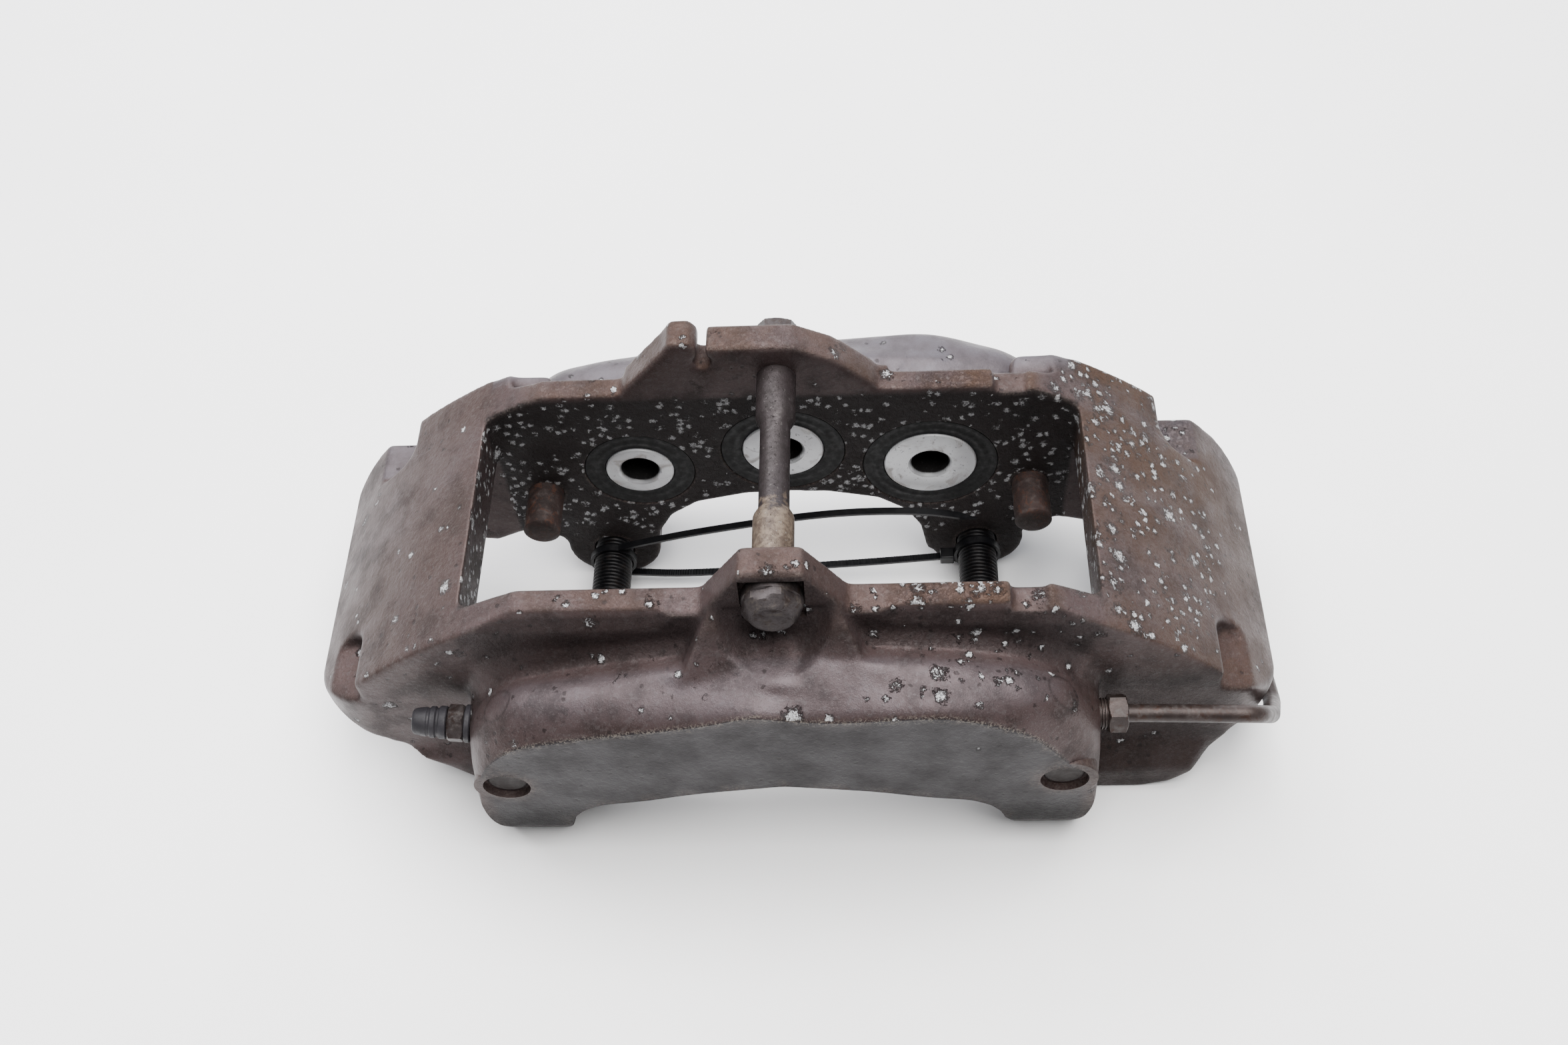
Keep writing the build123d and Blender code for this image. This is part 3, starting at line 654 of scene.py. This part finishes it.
    height = g.add(g.mul(mid, 0.6), g.mul(fine, 0.30))
    height = g.add(height, g.mul(grain, 0.16))
    height = g.math("SUBTRACT", height, g.mul(halo, 0.55))
    height = g.add(height, g.mul(pale, 0.35))
    scab = g.mul(g.math("MAXIMUM", tan, g.mul(shade_and_grime, 0.8)),
                 g.span(g.noise(520, 6, 0.72), 0.42, 0.62))
    height = g.add(height, g.mul(scab, 0.5))
    height = g.math("SUBTRACT", height, g.mul(speck, 0.12))
    g.put("Normal", g.bump(height, 0.00042))
    return g.mat


def metal_material(name, light, deep, stain, rough=(0.32, 0.55), metallic=0.85, grain=900,
                   spots=0.5, bump=0.00012, rust=None):
    """Tarnished or coated metal with wear, stains and fine tool marks."""
    g = Graph(name)
    broad = g.noise(60, 5, 0.6)
    mid = g.noise(260, 6, 0.65)
    fine = g.noise(grain, 5, 0.6)
    g.base = g.blend(g.span(broad, 0.36, 0.64), light, deep)
    g.coat(g.span(mid, 0.50, 0.72, 0, spots), stain)
    g.coat(g.span(fine, 0.55, 0.80, 0, 0.35), tuple(min(1, 1.7 * c) for c in light))
    if rust:
        g.coat(g.mul(g.span(g.noise(330, 7, 0.72, 0.8), 0.50, 0.64), 0.85), rust)
    g.paint()
    g.put("Roughness", g.span(mid, 0.3, 0.75, rough[0], rough[1]))
    g.put("Metallic", g.span(mid, 0.45, 0.8, metallic, metallic * 0.45))
    h = g.add(g.mul(fine, 0.5), g.mul(mid, 0.7))
    g.put("Specular IOR Level", 0.25)
    g.put("Normal", g.bump(h, bump))
    return g.mat


def rubber_material(name, colour, dust, rough=(0.5, 0.78), bump=0.00010, mottled=0.6):
    """Rubber or nylon with dust, scuffs and a faint moulded grain."""
    g = Graph(name)
    broad = g.noise(90, 5, 0.6)
    fine = g.noise(1500, 4, 0.6)
    mid = g.noise(420, 6, 0.66)
    g.base = g.blend(g.span(broad, 0.35, 0.68), colour, tuple(1.7 * c for c in colour))
    g.coat(g.span(mid, 0.56, 0.76, 0, mottled), dust)
    g.paint()
    g.put("Roughness", g.span(mid, 0.3, 0.7, rough[0], rough[1]))
    g.put("Specular IOR Level", 0.2)
    g.put("Normal", g.bump(g.add(g.mul(fine, 0.4), mid), bump))
    return g.mat


def piston_material():
    """Bright turned piston face with brown water stains, dark pits and painted shade in its
    hollow.
    """
    g = Graph("piston_metal")
    stain = g.span(g.noise(120, 6, 0.66, 1.2), 0.50, 0.66)
    speck = g.span(g.noise(900, 5, 0.7), 0.60, 0.70)
    lines = g.noise(2600, 2, 0.5)
    g.base = g.blend(g.span(g.noise(50, 3), 0.4, 0.65), (0.78, 0.79, 0.81), (0.60, 0.60, 0.62))
    g.coat(g.mul(stain, 0.55), (0.34, 0.29, 0.25))
    g.coat(g.mul(speck, 0.7), (0.12, 0.10, 0.09))
    hole_shade = g.attr("hole_shade")      # painted shade: the hollow in the middle is painted near-black where shade falls
    g.coat(hole_shade, (0.012, 0.011, 0.011))
    g.paint(0.5)
    g.put("Roughness", g.span(stain, 0, 1, 0.34, 0.62))
    g.put("Metallic", g.mul(g.span(stain, 0, 1, 0.55, 0.25), g.span(hole_shade, 0, 1, 1, 0)))
    g.put("Specular IOR Level", 0.3)
    g.put("Normal", g.bump(g.add(g.mul(lines, 0.4), g.mul(speck, -1.0)), 0.00006))
    return g.mat


def sleeve_material():
    """Tarnished spacer sleeve, golden brown and flaking at the outboard end."""
    g = Graph("sleeve_steel")
    y = g.axis(1)
    mid, fine = g.noise(330, 6, 0.68), g.noise(1300, 5, 0.6)
    g.base = g.blend(g.span(mid, 0.36, 0.66), (0.100, 0.078, 0.082), (0.052, 0.038, 0.038))
    gold = g.span(g.add(y, g.span(g.noise(240, 5, 0.6), 0.3, 0.7, -0.005, 0.005)),
                  -0.013, -0.019)
    g.coat(gold, g.blend(g.span(g.noise(420, 6, 0.7), 0.38, 0.62), (0.46, 0.35, 0.26),
                         (0.20, 0.140, 0.105)))
    flake = g.span(g.noise(700, 6, 0.72), 0.60, 0.68)
    g.coat(g.mul(flake, g.span(gold, 0, 1, 0.35, 0.9)), (0.66, 0.63, 0.60))
    speck = g.span(g.noise(820, 6, 0.75, 0.4), 0.58, 0.66)
    g.coat(g.mul(speck, 0.75), (0.052, 0.037, 0.033))
    g.paint()
    g.put("Roughness", g.span(mid, 0.3, 0.75, 0.36, 0.60))
    g.put("Metallic", g.span(gold, 0, 1, 0.35, 0.25))
    g.put("Specular IOR Level", 0.22)
    h = g.math("SUBTRACT", g.add(g.mul(fine, 0.35), mid), g.mul(speck, 0.5))
    g.put("Normal", g.bump(h, 0.00014))
    return g.mat


MATS = {
    "cast_housing": cast_material(),
    "piston_metal": piston_material(),
    "boot_rubber": rubber_material("boot_rubber", (0.0105, 0.0105, 0.0115), (0.055, 0.048, 0.044)),
    "seal_rubber": rubber_material("seal_rubber", (0.012, 0.012, 0.012), (0.04, 0.035, 0.03)),
    "cap_rubber": rubber_material("cap_rubber", (0.060, 0.056, 0.066), (0.13, 0.115, 0.12),
                                  (0.42, 0.70)),
    "nylon_strap": rubber_material("nylon_strap", (0.008, 0.008, 0.010), (0.03, 0.03, 0.03),
                                   (0.30, 0.45), 0.00003, 0.3),
    "tie_bolt_steel": metal_material("tie_bolt_steel", (0.19, 0.165, 0.170), (0.100, 0.080, 0.080),
                                     (0.30, 0.25, 0.20), (0.38, 0.6), 0.6, 900, 0.6, 0.00016,
                                     (0.075, 0.045, 0.035)),
    "sleeve_steel": sleeve_material(),
    "pipe_steel": metal_material("pipe_steel", (0.160, 0.118, 0.108), (0.088, 0.062, 0.058),
                                 (0.30, 0.27, 0.26), (0.36, 0.6), 0.45, 1200, 0.75, 0.00014,
                                 (0.100, 0.045, 0.030)),
    "rusty_pin": metal_material("rusty_pin", (0.100, 0.055, 0.048), (0.045, 0.025, 0.022),
                                (0.24, 0.19, 0.18), (0.62, 0.9), 0.10, 700, 0.6, 0.00045,
                                (0.165, 0.062, 0.034)),
    "plug_steel": metal_material("plug_steel", (0.095, 0.072, 0.066), (0.055, 0.040, 0.037),
                                 (0.16, 0.13, 0.12), (0.5, 0.75), 0.15, 900, 0.5, 0.00020,
                                 (0.06, 0.038, 0.032)),
    "bleed_steel": metal_material("bleed_steel", (0.215, 0.180, 0.178), (0.095, 0.072, 0.070),
                                  (0.36, 0.33, 0.32), (0.34, 0.58), 0.55, 1000, 0.7, 0.00014,
                                  (0.09, 0.05, 0.04)),
    "black_steel": metal_material("black_steel", (0.022, 0.022, 0.025), (0.014, 0.013, 0.015),
                                  (0.055, 0.048, 0.045), (0.30, 0.52), 0.5, 900, 0.5, 0.00010,
                                  (0.04, 0.026, 0.02)),
}


def finish(ob, slot, body, *replaced):
    """Material, slot, body and the CAD nodes that a piece stands for."""
    ob.data.materials.clear()
    ob.data.materials.append(MATS[slot])
    if body:
        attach(ob, body)
    if replaced:
        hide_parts(*replaced)
    return ob


def mark(ob, name, value):
    """Point attribute, limited to 0..1."""
    a = ob.data.attributes.new(name, "FLOAT", "POINT")
    a.data.foreach_set("value", np.clip(value, 0, 1).astype(np.float32))


def curvature(me, rounds=3):
    """Signed bend of the surface at every point, in millimetres: convex is positive."""
    co, no, mean = points(me), points(me, "normal"), neighbour_mean(me)
    bend = sum((co[:, k] - mean(co[:, k])) * no[:, k] for k in range(3)) / MM
    for _ in range(rounds):
        bend = 0.4 * bend + 0.6 * mean(bend)
    return bend


def paint_body(ob):
    """Masks on the points of the casting, which its material reads as attributes."""
    me = ob.data
    x, y, z = (points(me) / MM).T
    nx, ny, nz = points(me, "normal").T
    inner = step01(38.6 - np.abs(y), 0, 1.2) * step01(98.5 - np.abs(x), 0, 1.0)
    far_wall = inner * (y > 0) * step01(103.5 - z, 0, 3)
    near_wall = inner * (y < 0) * step01(103.5 - z, 0, 3)
    side_wall = step01(100 - np.abs(x), 0, 1.5) * step01(np.abs(x), 96.5, 97.5) \
        * (np.abs(y) < 37.5) * step01(np.abs(nx), 0.4, 0.8)
    top = step01(nz, 0.35, 0.75)
    right = step01(x, 88, 104) * top
    left = step01(-x, 88, 104) * top
    rim = top * step01(z, 99, 103) * (np.abs(x) < 99)
    near_rim_r = rim * (y < 0) * step01(x, 20, 45)
    far_rim = rim * (y > 0)
    flank = step01(z, 70, 100) * (y < -44) * step01(x, 15, 60) * (np.abs(x) < 99)
    ear = np.minimum(np.hypot(x - EARS[0], z - EAR_Z), np.hypot(x - EARS[1], z - EAR_Z))
    faced = step01(15.6 - ear, 0, 0.4) * far_wall
    pit = np.maximum.reduce([
        0.9 * far_wall * step01(z, 14, 30), 0.35 * near_wall, 1.0 * side_wall,
        right * step01(152 - x, 0, 26) * (0.30 + 0.70 * step01(y, -52, -28)),
        0.10 * right, 0.12 * left * step01(-y, 10, 40),
        0.95 * near_rim_r, 0.20 * rim * (y < 0), 0.14 * far_rim, 0.42 * flank,
        0.16 * step01(-x, 99, 105) * step01(-y, 45, 50),
        np.full(len(x), 0.05)]) * (1 - 0.93 * faced)
    valley = (y < -46) * step01(z, 70, 84) * step01(60 + y, 0, 6) * step01(98 - np.abs(x), 0, 6)
    tan = np.maximum.reduce([
        right * (0.35 + 0.65 * step01(y, -40, 45)) * step01(168 - x, 0, 30),
        far_rim * step01(x, 20, 60), 0.5 * far_rim, 0.8 * near_rim_r, 0.35 * rim,
        0.9 * side_wall * step01(x, 0, 1), 0.18 * left])
    under = step01(-nz, 0.2, 0.8)
    bend = curvature(me)
    worn, cavity = step01(bend, 0.022, 0.075), step01(-bend, 0.015, 0.07)
    front = y < -74.9
    bins = np.round(x[front] / 1.5).astype(int)
    crest = {b: z[front][bins == b].max() for b in np.unique(bins)}
    keys = np.array(sorted(crest))
    line = np.interp(x / 1.5, keys, [crest[b] for b in keys])
    dust = np.exp(-((z - line) / 1.0) ** 2) * step01(-y, 73.4, 74.6) * step01(90 - np.abs(x), 0, 9)
    foot = step01(-y, 60, 70) * step01(40 - z, 0, 20) * (np.abs(x) < 99)
    # painted shade, with some grime: window walls, undersides, the feet by the floor, creases, the
    # valley before the housing and shaded flank corners darken where shade falls
    shade_and_grime = np.maximum.reduce([0.97 * far_wall, 0.9 * near_wall, 0.40 * side_wall, 0.75 * under,
                              0.9 * foot, 0.6 * cavity, 0.55 * valley * step01(-ny, -0.1, 0.3),
                              0.55 * step01(x, 99.5, 102) * step01(-y, 46, 48)
                              * step01(75 - z, 0, 20),
                              0.55 * step01(99 - np.abs(x), 0, 3) * step01(-y, 45.2, 46.5)
                              * step01(z, 84, 90) * step01(58 + y, 0, 9) * (1 - top)])
    band = step01(np.abs(y), 74.4, 74.8) * step01(np.abs(ny), 0.6, 0.9) \
        * step01(98 - np.abs(x), 0, 6)
    tan = np.maximum(tan * (1 - faced), 0.55 * right)
    circle = np.zeros(len(x))
    for cx, cy, cr in ((-86.5, -61.5, 4.7), (85.5, -62.0, 4.7)):
        circle = np.maximum(circle, np.exp(-((np.hypot(x - cx, y - cy) - cr) / 0.35) ** 2)
                            * (z > 60))
    # painted sheen: the up-facing bulge tops are lightened where the back light is reflected
    painted_sheen = np.maximum.reduce([
        step01(y, 47, 55) * step01(nz, 0.55, 0.9) * (z > 70) * (np.abs(x) < 97),
        0.8 * step01(y, 38, 40) * step01(nz, 0.6, 0.95) * (z < 64) * (np.abs(x) > 120),
        0.40 * step01(-y, 55, 59) * step01(nz, 0.60, 0.95) * (z > 70)])
    pit = pit * (1 - 0.9 * band)
    for name, v in (("pit", pit), ("tan", tan), ("shade_and_grime", shade_and_grime), ("band", 0.9 * band),
                    ("ring", circle), ("worn", worn), ("dust", dust), ("painted_sheen", painted_sheen)):
        mark(ob, name, v)


# ------------------------------------------------------------------ the pieces
body = make_body()
paint_body(body)
finish(body, "cast_housing", "caliper", "caliper_body")

for s in (-1, 1):
    for x, z, dia in PISTONS:
        r, nose, key = dia / 2, dia / 2 - 3.2, f"{int(dia)}_{HALF[s]}"
        o, d = (x, s * WALL, z), (0, s, 0)
        piston = lathe("piston_" + key, [
            (6.5, 1.3), (7.1, 0.35), (7.6, 0.02), (nose - 1.0, 0.0), (nose - 0.35, 0.12),
            (nose, 0.5), (nose, 2.2), (nose - 0.9, 2.2), (nose - 0.9, 3.6), (nose, 3.6),
            (nose, 5.0), (r - 0.4, 5.0), (r, 5.4), (r, 22.5), (r - 1, 23.5), (0, 23.5),
            (0, 17.0), (5.8, 17.4), (6.5, 16.8)], o, d, 96, 32)
        px, py, pz = (points(piston.data) / MM).T
        # painted shade: the hollow inside the piston nose
        mark(piston, "hole_shade", step01(s * py - WALL, 0.25, 1.2)
             * (np.hypot(px - x, pz - z) < 7.2))
        finish(piston, "piston_metal", "piston_" + key, "piston_" + key)
        out = r + 4.16
        boot = lathe("boot_" + key, [
            (out, 0.75), (out - 0.25, 0.42), (out - 1.3, 0.36), (out - 1.9, 0.66),
            (r + 1.0, 0.75), (r + 0.2, 0.52), (r - 0.5, 0.50), (r - 1.0, 0.72),
            (nose + 0.9, 0.80), (nose + 0.45, 0.62), (nose + 0.15, 0.9), (nose + 0.12, 2.2),
            (nose - 0.8, 2.4), (nose - 0.8, 3.4), (nose + 1.2, 3.4), (nose + 1.4, 1.9),
            (r - 0.2, 1.6), (r + 1.2, 2.0), (r + 1.2, 4.8), (out, 4.8)], o, d, 96, 40)
        finish(boot, "boot_rubber", None, "boot_" + key)
        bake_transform(boot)

# tie bolt, nut and sleeve
head = lathe("tie_head", [(0, -49.4), (8.7, -49.4), (9.15, -49.0), (9.15, -46.0), (8.8, -45.6),
                          (0, -45.6)], (0, 0, TIE_Z), (0, 1, 0), 96)
hexa = hexagon("tie_hex", 17.0, 49.2, 54.7, (0, 0, TIE_Z), (0, -1, 0), turn=0.30, face_r=6.5,
               drop=3.1, corner=9.2)
face = lathe("tie_face", [(0, 54.72), (4.9, 54.72), (5.3, 54.9), (6.15, 54.9), (6.4, 54.6),
                          (6.4, 54.0), (0, 54.0)], (0, 0, TIE_Z), (0, -1, 0), 72)
shank = lathe("tie_shank", [(0, -47), (3.95, -47), (3.95, 56.0), (3.3, 58.2), (0, 58.4)],
              (0, 0, TIE_Z), (0, 1, 0), 48)
finish(join("tie_bolt_visual", [head, hexa, face, shank]), "tie_bolt_steel", "caliper", "tie_bolt")
collar = lathe("nut_collar", [(4.1, 48.05), (8.9, 48.05), (9.0, 48.5), (8.6, 49.5), (7.4, 50.0),
                              (4.1, 50.0)], (0, 0, TIE_Z), (0, 1, 0), 72)
nut = hexagon("nut_hex", 14.8, 49.4, 55.9, (0, 0, TIE_Z), (0, 1, 0), turn=0.1)
finish(join("tie_nut_visual", [collar, nut]), "tie_bolt_steel", "caliper", "tie_nut")

sleeve = lathe("spacer_sleeve_visual", [
    (4.2, -36.9), (5.8, -36.9), (6.35, -36.3), (6.38, -24), (6.32, -19.2), (6.1, -18.5),
    (4.95, -16.2), (4.78, -15.4), (4.74, 0), (4.78, 15.4), (4.95, 16.2), (6.1, 18.5),
    (6.32, 19.2), (6.36, 28), (6.35, 36.3), (5.8, 36.9), (4.2, 36.9)],
    (0, 0, TIE_Z), (0, 1, 0), 80, 40, 0.003)
finish(sleeve, "sleeve_steel", "caliper", "spacer_sleeve")

# abutment pins, corroded and slightly uneven
for s in (-1, 1):
    pins = []
    for x in (-PIN_X, PIN_X):
        prof = [(0, -17.5), (4.6, -17.4), (5.7, -17.0)]
        for h in np.linspace(-16.4, 8.0, 30):
            prof.append((6.42 - 0.14 * abs(math.sin(h * 1.7 + x)), h))
        prof += [(6.3, 8.8), (0, 8.8)]
        pins.append(lathe("pin", prof, (x, s * WALL, PIN_Z), (0, s, 0), 56, 50, 0.006))
    finish(join("abutment_pins_" + HALF[s] + "_visual", pins), "rusty_pin", "caliper",
           "abutment_pins_" + HALF[s])

plugs = [lathe("plug", [(0, 7.6), (4.9, 7.7), (5.5, 8.0), (6.0, 7.9), (6.4, 7.3), (6.44, 0.6),
                        (5.9, 0.2), (0, 0.2)], (x, s * 65, PLUG_Z), (0, s, 0), 72)
         for x, s in PLUGS]
finish(join("bore_plugs_visual", plugs), "plug_steel", "caliper", "bore_plugs")


# bleed screws and caps
def bleeder(s):
    """Bleed screw with a soft ring on its hexagon's shoulder, and the pull-off cap."""
    o, d = (-END, s * PORTS[s][0], PORTS[s][1]), BLEED_AXIS
    parts = [lathe("b1", [(0, -9), (3.6, -9), (4.9, -7.6), (4.9, -0.5), (4.2, 0), (4.2, 2.4),
                          (0, 2.4)], o, d, 48),
             hexagon("b2", 11.0, 2.2, 7.4, o, d, turn=0.2, both=True),
             lathe("b3", [(0, 7.2), (4.4, 7.2), (4.2, 7.7), (3.2, 7.8), (3.2, 11.2), (2.6, 11.6),
                          (2.6, 13.2), (3.2, 13.8), (2.6, 15.6), (1.1, 15.8), (1.1, 9), (0, 9)],
                   o, d, 40)]
    finish(join("bleed_screw_" + HALF[s] + "_visual", parts), "bleed_steel",
           "bleed_screw_" + HALF[s], "bleed_screw_" + HALF[s])
    ring = lathe("bleed_ring_" + HALF[s], [(4.3, 0.15), (5.7, 0.15), (6.05, 0.5), (6.05, 1.7),
                                           (5.7, 2.05), (4.3, 2.05)], o, d, 64)
    finish(ring, "cap_rubber", "bleed_screw_" + HALF[s])
    cap = lathe("bleed_cap_" + HALF[s] + "_visual", [
        (3.65, 7.7), (4.9, 7.7), (5.25, 8.0), (5.28, 9.8), (5.0, 10.2), (4.55, 10.35),
        (4.5, 10.9), (4.75, 11.15), (5.05, 11.4), (5.0, 12.8), (4.7, 13.1), (4.45, 13.3),
        (4.45, 13.8), (4.7, 14.1), (4.55, 15.6), (4.2, 17.4), (3.85, 18.2), (3.3, 18.55),
        (0, 18.6), (0, 16.4), (3.65, 16.3)], o, d, 64, 40)
    finish(cap, "cap_rubber", "bleed_cap_" + HALF[s], "bleed_cap_" + HALF[s])


for s in (-1, 1):
    bleeder(s)

# crossover pipe and its nuts
(ny, nz), (fy, fz) = PORTS[-1], PORTS[1]
run = rounded_path([(90.5, -ny, nz), (112, -ny, nz), (148.5, -ny, 54.5), (156, -50, 41),
                    (161, -37.5, 26.5), (161.5, -18, 20), (161.5, 38, 19), (159, 61.5, 24),
                    (140, 62, 36), (116, fy, fz), (90.5, fy, fz)], 9)
finish(sweep_tube("crossover_pipe_visual", run, 2.82, 28), "pipe_steel", "caliper",
       "crossover_pipe")
for s in (-1, 1):
    py, pz = PORTS[s]
    o = (0, s * py, pz)
    thread = [(2.96, 92.2), (4.4, 92.2)]
    h = 92.4
    while h < 101.0:
        thread += [(4.95, h), (4.95, h + 0.3), (4.45, h + 0.55), (4.45, h + 0.8)]
        h += 1.0
    thread += [(4.3, 101.4), (2.96, 101.4)]
    nut = [lathe("n1", thread, o, (1, 0, 0), 56), hexagon("n2", 11.0, 101.2, 107.4, o, (1, 0, 0),
                                                         turn=0.15, both=True)]
    finish(join("tube_nut_" + HALF[s] + "_visual", nut), "pipe_steel", "caliper",
           "tube_nut_" + HALF[s])


# mounting bolts with a true helical thread
def helix(x, y0, y1, crest, root, pitch, seg=56):
    """Threaded rod along Y with a true helical ridge that fades in at its start."""
    rows = int((y1 - y0) / pitch * 10)
    verts = []
    for i in range(rows + 1):
        y = y0 + (y1 - y0) * i / rows
        depth = (crest - root) * float(0.35 + 0.65 * step01(np.array(y - y0), 0.0, 2.0))
        for k in range(seg):
            a = 2 * math.pi * k / seg
            ridge = 1 - abs(2 * (((y - y0) / pitch - k / seg) % 1.0) - 1)
            r = root + depth * min(1.0, max(0.0, (ridge - 0.12) / 0.70))
            verts.append((x + r * math.cos(a), y, EAR_Z + r * math.sin(a)))
    return loft("thread", verts, seg, 70)


for x, side_name in zip(EARS, ("left", "right")):
    o = (x, 0, EAR_Z)
    parts = [helix(x, 14.1, 41.5, 6.98, 6.05, 1.5),
             lathe("shank", [(0, 41), (6.2, 41), (6.9, 42), (6.9, 60.2), (0, 60.2)], o, (0, 1, 0)),
             lathe("flange", [(0, 60.05), (13.5, 60.05), (13.95, 60.5), (13.9, 61.4), (13.0, 62.2),
                              (10.4, 63.6), (0, 63.6)], o, (0, 1, 0), 96),
             hexagon("hex", 17.8, 62.5, 72.4, o, (0, 1, 0), turn=0.3)]
    finish(join("mounting_bolt_" + side_name + "_visual", parts), "black_steel",
           "mounting_bolt_" + side_name, "mounting_bolt_" + side_name)


# cable tie: loops round both threads, ribbed strap, square head and pointed tail
def strap(line, y, width, thick, point=0.0, ribs=False):
    """Flat strap on edge along a line of (x, z) stations, pointed over its last part."""
    p = np.array(line, float)
    u = np.linspace(0, 1, 220)
    x, z = smooth_rows(np.linspace(0, 1, len(p)), p.T, u)
    tx, tz = np.gradient(x), np.gradient(z)
    nx, nz = -tz / np.hypot(tx, tz), tx / np.hypot(tx, tz)
    verts = []
    for i, at in enumerate(u):
        w = width / 2 * (float(np.clip((1 - at) / point, 0.12, 1)) if point else 1.0)
        h = thick / 2 * (1 - (0.28 if ribs and i % 2 else 0.0))
        for a, b in ((-w, -thick / 2), (w, -thick / 2), (w, h), (-w, h)):
            verts.append((x[i] + nx[i] * b, y + a, z[i] + nz[i] * b))
    return loft("strap", verts, 4, 20)


SY, SW, ST = 31.5, 2.6, 1.1      # strap: place along the bolts, width, thickness
tie = [lathe("loop", [(7.38, SY - SW / 2), (8.43, SY - SW / 2), (8.43, SY + SW / 2),
                      (7.38, SY + SW / 2)], (x, 0, EAR_Z), (0, 1, 0), 72) for x in EARS]
tie.append(strap([(-62.5, 24.8), (-52, 28.4), (-32, 34), (2, 41.3), (26, 43.9), (49, 43),
                  (67, 38.3)], SY, SW, ST * 0.9, 0.06))
tie.append(strap([(-62.5, 9.2), (-35, 7.6), (20, 11.4), (58, 15.2)], SY, SW, ST, 0, True))
clip = box_mesh((54.5, SY - 2.3, 13.1), (59.5, SY + 2.3, 17.3))
bevel = clip.modifiers.new("edge", "BEVEL")
bevel.width, bevel.segments = 0.4 * MM, 2
apply_modifiers(clip)
tie.append(clip)
finish(join("cable_tie_visual", tie), "nylon_strap", "caliper", "cable_tie")

for n, ob in NODES.items():
    if n.startswith("seal_"):
        ob.data.materials.clear()
        ob.data.materials.append(MATS["seal_rubber"])

# ------------------------------------------------------------------ stage, light, camera
floor_mat = Graph("floor")
floor_mat.put("Base Color", floor_mat.blend(floor_mat.span(floor_mat.noise(6, 5), 0.3, 0.7),
                                            (0.80, 0.80, 0.805), (0.77, 0.77, 0.775)))
floor_mat.put("Roughness", floor_mat.span(floor_mat.noise(30, 4), 0.3, 0.7, 0.55, 0.7))
R, DROP = 2500, 0.05
floor = mesh_object("floor", [(-R, -R, -DROP), (R, -R, -DROP), (R, R, -DROP), (-R, R, -DROP)],
                    [(0, 1, 2, 3)])
floor.data.materials.append(floor_mat.mat)


def softbox(name, place, target, size, power, tint=(1, 1, 1)):
    """Rectangular soft light aimed at a point, metres and watts."""
    light = bpy.data.lights.new(name, "AREA")
    light.shape, light.size, light.size_y = "RECTANGLE", size[0], size[1]
    light.energy, light.color = power, tint
    ob = bpy.data.objects.new(name, light)
    ob.location = place
    ob.rotation_euler = (Vector(target) - Vector(place)).to_track_quat("-Z", "Y").to_euler()
    bpy.context.scene.collection.objects.link(ob)


softbox("key", (-0.55, 0.55, 1.05), (0, 0, 0.04), (1.3, 1.0), 42.0, (1.0, 0.99, 1.0))
softbox("top", (0.25, -0.05, 1.25), (0, 0, 0.04), (1.25, 0.9), 60.0, (1.0, 0.985, 0.97))
softbox("back", (0.1, 1.35, 0.60), (0, 0, 0.06), (1.8, 0.6), 22.0, (0.90, 0.93, 1.0))

world = bpy.data.worlds.new("studio")
world.use_nodes = True
world.node_tree.nodes["Background"].inputs[0].default_value = (0.96, 0.98, 1.0, 1)
world.node_tree.nodes["Background"].inputs[1].default_value = 0.28
bpy.context.scene.world = world

# camera: above the outboard side, looking down across the pad window
AZ, EL, ROLL, DIST = (math.radians(5.11), math.radians(54.57), math.radians(-5.47), 0.51394)
back = Vector((math.sin(AZ) * math.cos(EL), -math.cos(AZ) * math.cos(EL), math.sin(EL)))
right0 = (-back).cross(Vector((0, 0, 1))).normalized()
up0 = right0.cross(-back)
right = right0 * math.cos(ROLL) + up0 * math.sin(ROLL)
up = -right0 * math.sin(ROLL) + up0 * math.cos(ROLL)
cam = bpy.data.objects.new("camera", bpy.data.cameras.new("camera"))
cam.data.sensor_width, cam.data.lens = 36.0, 36.627857
cam.data.clip_start = 0.01
m = Matrix((right, up, back)).transposed().to_4x4()
m.translation = Vector((0.00131, 0, 0.08299)) + back * DIST
cam.matrix_world = m
bpy.context.scene.collection.objects.link(cam)
bpy.context.scene.camera = cam
